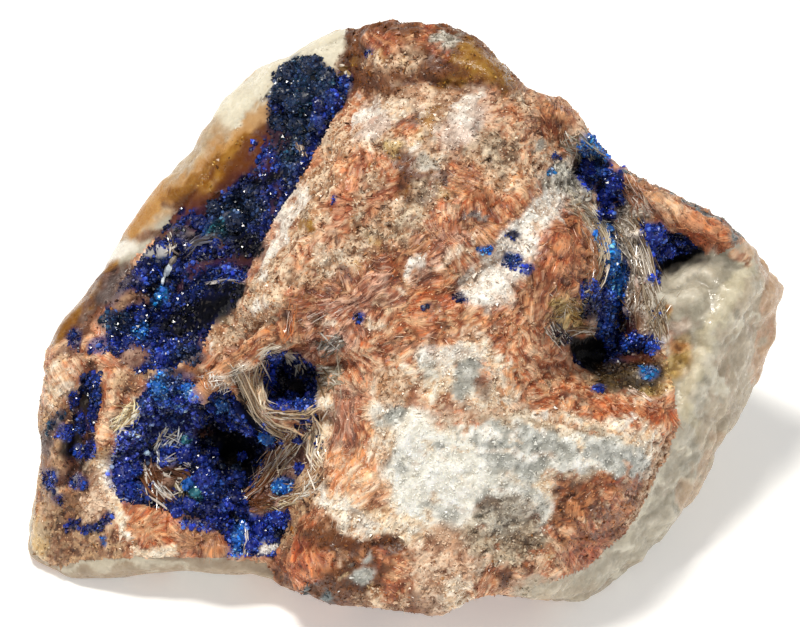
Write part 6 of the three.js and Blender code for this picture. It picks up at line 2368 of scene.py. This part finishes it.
SHEAVES: tuple[Sheaf, ...] = (
    Sheaf("frame post", ((236, 364), (248, 392), (258, 414), (272, 428), (300, 440)), 6, 26,
          (0.74, 0.66, 0.55), 0.07, 0.5, 0.7),
    Sheaf("inner post", ((264, 358), (257, 380), (262, 404), (276, 416)), 5, 16, (0.80, 0.73, 0.62), 0.07,
          0.5, 0.8),
    Sheaf("frame rail", ((262, 412), (285, 416), (305, 414), (320, 406)), 4, 16, (0.82, 0.72, 0.58), 0.07,
          0.5, 0.8),
    Sheaf("frame apex", ((258, 362), (268, 350), (282, 348), (296, 360)), 4, 14, (0.84, 0.78, 0.70), 0.07,
          0.4, 0.5),
    Sheaf("frame chips", ((286, 348), (298, 364), (304, 374)), 5, 8, (0.93, 0.90, 0.84), 0.12, 0.4),
    Sheaf("comb", ((223, 374), (216, 392)), 12, 20, (0.88, 0.85, 0.82), 0.05, 0.3, 0.5),
    Sheaf("upper comb", ((242, 364), (240, 384)), 10, 14, (0.82, 0.78, 0.72), 0.05, 0.3, 0.5),
    Sheaf("cream blades", ((110, 430), (124, 418), (138, 404)), 6, 22, (0.92, 0.86, 0.70), 0.09),
    Sheaf("cream tip", ((126, 424), (140, 414)), 3, 6, (0.97, 0.95, 0.88), 0.13, 0.4),
    Sheaf("white arc", ((154, 452), (160, 438), (168, 426)), 2, 6, (0.92, 0.92, 0.88), 0.06, 0.6),
    Sheaf("white leaf", ((160, 452), (170, 440), (182, 432)), 4, 8, (0.86, 0.88, 0.90), 0.07, 0.6),
    Sheaf("stem", ((156, 450), (158, 460), (159, 470)), 1.5, 4, (0.80, 0.82, 0.85), 0.06, 0.5),
    Sheaf("grey arc", ((160, 460), (176, 458), (190, 466)), 2.5, 6, (0.72, 0.70, 0.70), 0.07, 0.5),
    Sheaf("brown blade", ((144, 460), (148, 474), (156, 490), (172, 504)), 8, 28, (0.46, 0.30, 0.20), 0.12,
          0.5),
    Sheaf("white stripe", ((146, 470), (154, 486), (168, 500)), 2, 7, (0.95, 0.95, 0.95), 0.06, 0.75),
    Sheaf("second stripe", ((160, 484), (168, 494), (176, 502)), 2, 5, (0.88, 0.86, 0.84), 0.06, 0.75),
    Sheaf("brown leaf", ((150, 468), (164, 474), (184, 474), (192, 480)), 5, 16, (0.42, 0.28, 0.20), 0.12,
          0.4),
    Sheaf("grey knot", ((176, 482), (184, 492), (182, 502)), 4, 8, (0.60, 0.56, 0.44), 0.1, 0.5),
    Sheaf("low right streaks", ((240, 500), (258, 484), (274, 458), (296, 432)), 9, 26, (0.58, 0.40, 0.28),
          0.07, 0.4, 0.0, 0.6),
    Sheaf("pale streaks", ((262, 486), (280, 462), (304, 426)), 8, 16, (0.88, 0.80, 0.68), 0.05, 0.5),
    Sheaf("brown low arcs", ((246, 506), (264, 504), (290, 500)), 6, 16, (0.56, 0.38, 0.26), 0.08, 0.35),
    Sheaf("cream low arc", ((262, 510), (284, 502), (300, 498)), 4, 10, (0.86, 0.78, 0.62), 0.06, 0.45),
    Sheaf("white wedge", ((292, 500), (306, 490), (320, 478)), 5, 16, (0.96, 0.93, 0.88), 0.1, 0.3),
    Sheaf("right wall", ((312, 408), (316, 432), (312, 454), (322, 470)), 6, 22, (0.86, 0.78, 0.66), 0.08,
          0.2),
    Sheaf("lower wall", ((322, 446), (316, 470), (296, 500)), 6, 16, (0.78, 0.62, 0.46), 0.08, 0.2),
    Sheaf("column edge", ((244, 522), (247, 540), (245, 556)), 2, 6, (0.80, 0.78, 0.78), 0.06, 0.4),
    Sheaf("grey blades", ((316, 376), (330, 376), (345, 378)), 9, 20, (0.72, 0.68, 0.60), 0.1, 0.25),
    Sheaf("upper grey blades", ((318, 352), (332, 346), (346, 338)), 7, 14, (0.50, 0.48, 0.44), 0.1, 0.2),
    Sheaf("fan glints", ((356, 300), (330, 312), (300, 332)), 14, 14, (0.80, 0.62, 0.54), 0.04, 0.03, 0.0,
          0.2),
    Sheaf("fan side", ((296, 300), (290, 320), (288, 345)), 4, 7, (0.84, 0.50, 0.28), 0.05, 0.1),
    Sheaf("upright blade", ((176, 254), (166, 270), (162, 290)), 1.5, 4, (0.80, 0.84, 0.88), 0.2, 0.6),
    Sheaf("blue tip", ((160, 282), (162, 296), (168, 306)), 2, 3, (0.22, 0.45, 0.85), 0.2, 0.6),
    Sheaf("right wisps", ((178, 258), (196, 242), (214, 238), (224, 246)), 4, 6, (0.40, 0.40, 0.46), 0.1,
          0.5),
    Sheaf("wisp line", ((204, 284), (226, 280), (246, 282)), 1.5, 5, (0.62, 0.60, 0.62), 0.07, 0.4),
    Sheaf("wisp post", ((168, 232), (172, 244), (170, 258)), 3, 8, (0.50, 0.45, 0.42), 0.1, 0.4),
    Sheaf("cliff blade", ((296, 140), (302, 150), (306, 158)), 3, 5, (0.60, 0.52, 0.46), 0.1, 0.3),
    Sheaf("lump chip", ((338, 68), (352, 72)), 4, 6, (0.60, 0.50, 0.34), 0.2, 0.3),
    Sheaf("dome fringe", ((562, 202), (584, 212), (600, 232), (606, 256), (600, 280), (588, 300)), 6, 40,
          (0.78, 0.72, 0.62), 0.06, 0.25),
    Sheaf("outer fringe", ((590, 206), (604, 228), (612, 250)), 4, 20, (0.72, 0.70, 0.66), 0.06, 0.3),
    Sheaf("dome side", ((580, 220), (594, 244), (596, 270), (584, 296)), 5, 26, (0.80, 0.58, 0.42), 0.06,
          0.2),
    Sheaf("flat blade", ((568, 206), (582, 200), (592, 194)), 3, 6, (0.72, 0.68, 0.60), 0.25, 0.3),
    Sheaf("band", ((620, 216), (634, 232), (644, 258), (650, 284), (658, 312), (664, 336)), 8, 34,
          (0.60, 0.54, 0.46), 0.06, 0.3, 0.5),
    Sheaf("grey band", ((618, 222), (624, 240), (632, 258), (640, 282)), 6, 18, (0.48, 0.44, 0.40), 0.06,
          0.3, 0.5),
    Sheaf("low band", ((640, 282), (636, 300), (628, 318), (622, 332)), 8, 18, (0.54, 0.45, 0.37), 0.06,
          0.3),
    Sheaf("band foot", ((652, 300), (660, 322), (662, 344)), 6, 16, (0.72, 0.65, 0.55), 0.06, 0.3),
    Sheaf("olive shelf", ((548, 316), (566, 306), (584, 312)), 9, 26, (0.60, 0.48, 0.24), 0.07, 0.25),
    Sheaf("cave lip", ((560, 332), (580, 330), (604, 332)), 3, 14, (0.52, 0.42, 0.28), 0.07, 0.3, 0.8),
    Sheaf("striped blades", ((546, 322), (556, 334), (566, 346)), 6, 12, (0.80, 0.78, 0.74), 0.06, 0.3),
    Sheaf("dark blades", ((550, 320), (560, 332), (568, 344)), 6, 10, (0.10, 0.10, 0.20), 0.07, 0.32),
    Sheaf("ledge edge", ((628, 388), (642, 394), (652, 402)), 2, 5, (0.95, 0.85, 0.78), 0.09, 0.3),
    Sheaf("edge strands", ((560, 140), (580, 150), (592, 166)), 8, 22, (0.70, 0.68, 0.62), 0.06, 0.25),
    Sheaf("outer strands", ((582, 126), (596, 142), (612, 158)), 7, 20, (0.62, 0.62, 0.60), 0.06, 0.2),
    Sheaf("ridge strands", ((620, 178), (640, 200), (650, 216)), 8, 26, (0.72, 0.50, 0.38), 0.06, 0.25),
)


class Caster:
    """Finds the rock's surface behind a pixel of the picture."""

    # How far over the face plane the search starts, in millimetres.
    FROM = 60.0

    def __init__(self, pieces: list[bpy.types.Object]) -> None:
        """Builds one search tree for each piece.

        Args:
            pieces: The pieces whose surfaces it finds.
        """
        self.trees = []
        for piece in pieces:
            mesh = piece.data
            mesh.calc_loop_triangles()
            triangles = read(mesh.loop_triangles, "vertices", 3, np.int64)
            corners = [Vector(p) for p in read(mesh.vertices, "co", 3)]
            self.trees.append(BVHTree.FromPolygons(corners, triangles.tolist()))

    def surface(self, pixel: tuple[float, float]) -> tuple[np.ndarray, np.ndarray] | None:
        """Looks for the rock behind a pixel.

        Args:
            pixel: The pixel.

        Returns:
            The nearest surface point behind it, in the face frame, and the normal there, or nothing.
        """
        x, v = FACE.at_pixel(pixel)
        start = Vector(FACE.to_world(np.array([[x, v, self.FROM]]))[0])
        way = -Vector(FACE.axes()[2])
        best = None
        for tree in self.trees:
            hit, normal, _, distance = tree.ray_cast(start, way)
            if hit is not None and (best is None or distance < best[2]):
                best = (hit, normal, distance)
        if best is None:
            return None
        place = FACE.from_world(np.array([best[0][:]]))[0]
        return place, np.array(best[1][:]) @ FACE.axes().T


class CurvedFibres:
    """All the listed sheaves of curved fibres, joined in one mesh."""

    RINGS = 6
    SIDES = 3
    # The girth of a fibre from ring to ring, and how its corners stand round its middle line.
    TAPER = (0.3, 0.9, 1, 0.95, 0.8, 0.25)
    SIDE_TURN = 2.1
    FLATNESS = 0.4
    # Half the width in millimetres from which fibres count as thin sheets.
    SHEET = 0.15
    PALE = (0.97, 0.94, 0.90)
    BROWN_GAIN = (0.50, 0.38, 0.28)

    def __init__(self, name: str, seed: int) -> None:
        """Keeps the name of the piece and the seed of its small differences."""
        self.name = name
        self.random = np.random.default_rng(seed)

    def fibre(self, sheaf: Sheaf, caster: Caster) -> np.ndarray | None:
        """Lays one fibre of a sheaf.

        Args:
            sheaf: The sheaf it belongs to.
            caster: Finds the surface.

        Returns:
            The fibre's middle line in the face frame, or nothing where no rock lies behind it.
        """
        random = self.random
        points = np.array(sheaf.line, dtype=float)
        steps = np.linalg.norm(np.diff(points, axis=0), axis=1)
        marks = np.concatenate([[0], np.cumsum(steps)]) / steps.sum()
        span = random.uniform(0.2, 0.6)
        first = random.uniform(-0.06, 1.06 - span)
        t = np.clip(np.linspace(first, first + span, self.RINGS), 0, 1) + np.linspace(0, 0.01, self.RINGS)
        line = np.stack([np.interp(t, marks, points[:, i]) for i in (0, 1)], axis=1)
        way = np.gradient(line, axis=0)
        way /= np.maximum(np.linalg.norm(way, axis=1, keepdims=True), TINY)
        side = np.stack([-way[:, 1], way[:, 0]], axis=1)
        wave = np.sin(np.linspace(0, 5, self.RINGS) + random.uniform(0, 6))
        lean = random.normal(0, 1.1 if random.random() < 0.3 else 0.3)
        offset = random.integers(-2, 3) / 2.3 + random.normal(0, 0.14)
        offset = offset + lean * np.linspace(-1, 1, self.RINGS)
        offset = (offset + 0.08 * wave) * (sheaf.start + (1 - sheaf.start) * t)
        line += side * (offset * sheaf.half)[:, None]
        hits = [caster.surface(tuple(p)) for p in line]
        if any(hit is None for hit in hits):
            return None
        depth = np.array([hit[0][2] for hit in hits])
        straight = np.interp(t, [t[0], t[-1]], [depth[0], depth[-1]])
        low = np.minimum(np.convolve(np.pad(depth, 1, mode="edge"), [0.3, 0.4, 0.3], "valid"), depth + 0.5)
        level = low + sheaf.bridge * np.maximum(straight - low, 0)
        arch = np.sin(math.pi * np.linspace(0.05, 0.9, self.RINGS))
        level += sheaf.lift * random.uniform(0.0, 1.1) * arch
        across, up = FACE.at_pixel((line[:, 0], line[:, 1]))
        return np.stack([across, up, level], axis=1)

    def triangles(self) -> np.ndarray:
        """Joins the corners of one fibre from ring to ring, and closes its two ends.

        Returns:
            The triangles as vertex numbers.
        """
        sides = self.SIDES
        rings = [i * sides for i in range(self.RINGS - 1)]
        spots = [(ring + j, ring + (j + 1) % sides) for ring in rings for j in range(sides)]
        faces = [[near, after, near + sides] for near, after in spots]
        faces += [[after, after + sides, near + sides] for near, after in spots]
        last = self.RINGS * sides
        return np.array([*faces, [0, 2, 1], [last - 3, last - 2, last - 1]])

    def build(self, caster: Caster, material: bpy.types.Material) -> None:
        """Lays all the fibres.

        Args:
            caster: Finds the surface.
            material: Their material.
        """
        random = self.random
        scatter = Scatter(self.name)
        triangles = self.triangles()
        pale = to_linear(self.PALE)
        for sheaf in SHEAVES:
            hair = sheaf.width < self.SHEET
            for _ in range(int((3.2 if hair else 1.6) * sheaf.count)):
                line = self.fibre(sheaf, caster)
                if line is None:
                    continue
                way = unit(np.gradient(line, axis=0))
                side = unit(np.cross(way, [0.0, 0.0, 1.0]))
                over = np.cross(side, way)
                turn = random.uniform(-0.5, 0.5)
                girth = (0.7 if hair else 0.95) * sheaf.width * random.uniform(0.4, 1.8)
                width = girth * np.array(self.TAPER)
                corners = []
                for i in range(self.SIDES):
                    angle = turn + i * self.SIDE_TURN
                    out = math.cos(angle) * side + self.FLATNESS * math.sin(angle) * over
                    corners.append(line + width[:, None] * out)
                places = FACE.to_world(np.stack(corners, axis=1).reshape(-1, 3))
                share = random.random()
                tone = to_linear(sheaf.colour) * random.uniform(0.65, 1.3)
                if share < 0.2:
                    tone = 0.4 * tone + 0.6 * pale
                elif share < 0.5:
                    tone = tone * np.array(self.BROWN_GAIN)
                scatter.places.append(places)
                scatter.faces.append(triangles + scatter.count)
                scatter.tones.append(np.repeat(tone[None], len(places), axis=0))
                scatter.count += len(places)
        scatter.piece(material, "matrix")


@dataclass
class Studio:
    """The pale floor, the soft light and the camera.

    Args:
        lens: Focal length in millimetres.
        view_width: What the picture's width shows at the face plane, in millimetres.
        sensor: Width of the camera's sensor in millimetres.
        picture_middle: The pixel in the picture's middle.
        floor_half: Half the floor's width in metres.
        floor_gap: How far the floor lies under the specimen in millimetres.
        floor_colour: The floor's colour.
        floor_glow: How brightly the floor shines by itself.
        sky: The strength of the white sky.
        aim: How high over the ground the lamps' directions start, in metres.
    """

    lens: float = 1000.0
    view_width: float = 73.6
    sensor: float = 36.0
    picture_middle: tuple[float, float] = (400.0, 313.5)
    floor_half: float = 4.0
    floor_gap: float = 0.02
    floor_colour: tuple[float, float, float, float] = (0.93, 0.93, 0.925, 1)
    floor_glow: float = 0.32
    sky: float = 0.3
    aim: float = 0.02

    def build(self) -> None:
        """Makes the camera, the floor, the lights and the sky."""
        self.camera()
        self.floor()
        self.lights()

    def camera(self) -> None:
        """Places the camera straight in front of the leaning face."""
        data = bpy.data.cameras.new("camera")
        data.lens = self.lens
        data.sensor_width = self.sensor
        camera = set_out("camera", data)
        x, v = FACE.at_pixel(self.picture_middle)
        distance = self.view_width * self.lens / self.sensor
        camera.location = FACE.to_world(np.array([[x, v, distance]]))[0]
        camera.rotation_euler = (math.pi / 2 - FACE.lean, 0, 0)
        data.clip_start = 0.01
        data.clip_end = 20
        bpy.context.scene.camera = camera

    def floor(self) -> None:
        """Lays the pale floor under the specimen."""
        bm = bmesh.new()
        bmesh.ops.create_grid(bm, x_segments=1, y_segments=1, size=self.floor_half)
        mesh = bpy.data.meshes.new("floor")
        bm.to_mesh(mesh)
        bm.free()
        floor = set_out("floor", mesh)
        floor.location.z = -self.floor_gap * MM
        shader = Shader("pale floor")
        fill(shader.surface, {"Base Color": self.floor_colour, "Roughness": 0.9})
        fill(shader.surface, {"Emission Color": (1, 1, 1, 1), "Emission Strength": self.floor_glow})
        mesh.materials.append(shader.material)

    def lights(self) -> None:
        """Hangs the key light over the top, a soft fill at the right, and sets the sky."""
        self.lamp("key", (-0.2, 0.68, 0.7), distance=0.9, size=0.2, power=8.0, colour=(1.0, 0.96, 0.88))
        self.lamp("fill", (0.6, -0.1, 0.8), distance=1.0, size=0.8, power=0.7, colour=(1.0, 0.98, 0.94))
        world = bpy.data.worlds.new("sky")
        world.use_nodes = True
        fill(world.node_tree.nodes["Background"], {"Color": (1, 1, 1, 1), "Strength": self.sky})
        bpy.context.scene.world = world
        view = bpy.context.scene.view_settings
        view.view_transform = "Standard"
        view.look = "None"

    def lamp(
        self,
        name: str,
        way: tuple[float, float, float],
        distance: float,
        size: float,
        power: float,
        colour: Colour,
    ) -> None:
        """Hangs a square light that looks at the specimen.

        Args:
            name: Its name.
            way: The direction towards it in the face frame.
            distance: How far off it is in metres.
            size: Its width in metres.
            power: Its power in watts.
            colour: Its colour.
        """
        data = bpy.data.lights.new(name, "AREA")
        data.size = size
        data.energy = power
        data.color = colour
        lamp = set_out(name, data)
        towards = Vector(np.array(way) @ FACE.axes()).normalized()
        lamp.location = towards * distance + Vector((0, 0, self.aim))
        lamp.rotation_mode = "QUATERNION"
        lamp.rotation_quaternion = towards.to_track_quat("Z", "Y")


def main() -> None:
    """Builds the specimen's pieces in order and reports each one."""
    logging.basicConfig(level=logging.INFO, format="%(name)s: %(message)s")
    Studio().build()
    grain = mineral_grain_group()
    fibres = FibreField(seed=7)
    matrix = RockBody(
        node="ochre_matrix",
        name="matrix_rock",
        slot="matrix",
        finish=RockFinish("fibrous matrix", contrast=0.9, relief=0.8, specular=0.5),
        painter=Painter(
            Look.SALMON, (Look.RUST, Look.RED_BROWN, Look.TAN, Look.SALMON), Look.CREAM, MATRIX_MARKS
        ),
        grow=0.0,
        roughness=0.58,
        seed=11,
        stains=(Look.RUST, Look.TAN),
    )
    quartz = RockBody(
        node="quartz_mass",
        name="quartz_rock",
        slot="quartz",
        finish=RockFinish(
            "massive quartz", contrast=0.5, relief=0.4, specular=0.4, subsurface=0.5, subsurface_reach=1.6
        ),
        painter=Painter(
            Look.QUARTZ, (Look.QUARTZ, Look.FLANK, Look.PALE, Look.GREY), Look.PEACH, QUARTZ_MARKS
        ),
        grow=0.25,
        roughness=0.25,
        seed=12,
        facets=0.27,
        stains=(Look.PEACH, Look.HONEY),
    )
    lens = RockBody(
        node="quartz_lens",
        name="milky_lens",
        slot="milky_quartz",
        finish=RockFinish("milky quartz", contrast=0.5, relief=0.6, specular=0.5, subsurface=0.3),
        painter=Painter(Look.CREAM, (Look.MILKY,), Look.ICE, MATRIX_MARKS),
        grow=0.0,
        roughness=0.58,
        seed=11,
    )
    crusts = {
        place: RockBody(
            node="azurite_crust_" + place,
            name=place + "_crust",
            slot="azurite",
            finish=RockFinish(place + " crust", contrast=0.5, relief=0.5, specular=0.1),
            painter=Painter(Look.NAVY, (Look.NAVY,), Look.ROYAL, BLUE_MARKS),
            grow=0.1,
            roughness=0.3,
            seed=30 + i,
            knobs=1.0,
        )
        for i, place in enumerate(("vug", "valley", "cleft", "notch", "pocket", "groove"))
    }
    bodies = [matrix, quartz, lens, *crusts.values()]
    rock = JoinedRock(
        tuple(body.node for body in bodies), voxel=0.28, worn=quartz.node, alike=(matrix.node, lens.node)
    )
    front = Front(FACE.from_world(rock.place))
    for body in bodies:
        body.build(rock)
        body.dress(front, fibres, grain)
        log.info("%s: %d faces", body.name, len(body.piece.data.polygons))
    caster = Caster([body.piece for body in bodies])
    balls = BallCluster("azurite_balls", seed=40)
    azurite = CrystalFinish("azurite crystals").material()
    balls.build(caster, CrystalFinish("azurite bed", rough=0.4, specular=0.4, coat=0.0).material())
    grains = CrystalGrains("azurite_grains", grain_shape(), density=26.0, size=0.09, seed=41)
    grains.build([*bodies[:4], balls], front, azurite)
    grains = CrystalGrains("valley_grains", grain_shape(), density=26.0, size=0.09, seed=42)
    grains.build(bodies[4:], front, azurite)
    knots = CrystalGrains(
        "azurite_knots", knot_shape(), density=6.0, size=0.15, seed=43, stretch=(0.5, 1.6), bright=0.14,
        white=0.0,
    )
    knots.build(bodies, front, azurite)
    log.info("azurite crystals grown")
    slivers = CrystalFinish("mineral fibres", rough=0.3, specular=0.6, coat=0.0).material()
    FibreTufts("fibre_tufts", matrix, count=8000, seed=51).build(front, fibres, slivers)
    for i, place in enumerate(("vug", "valley", "cleft")):
        crust = crusts[place]
        FibreTufts(place + "_tufts", crust, count=700, seed=71 + i).build(front, fibres, slivers)
        crumbs = MineralGlints(place + "_crumbs", 700, 81 + i, (0.12, 0.08, 0.16), dark=0.2, crumbs=True)
        crumbs.build(crust, front, slivers)
    # Pale grains whose paler colour stands in for painted glints on the matrix, and dark specks.
    MineralGlints("glints", 9000, 52).build(matrix, front, slivers)
    crumbs = MineralGlints("crumbs", 9000, 53, (0.13, 0.08, 0.17), dark=0.2, crumbs=True)
    crumbs.build(matrix, front, slivers)
    sugar = MineralGlints("lens_grains", 3500, 54, (0.09, 0.06, 0.14), dark=0.0, crumbs=True)
    sugar.build(lens, front, slivers)
    blades = CrystalFinish("pale blades", rough=0.25, specular=0.6, coat=0.2).material()
    CurvedFibres("curved_fibres", seed=61).build(caster, blades)
    log.info("fibres and glints laid")


if __name__ == "__main__":
    main()
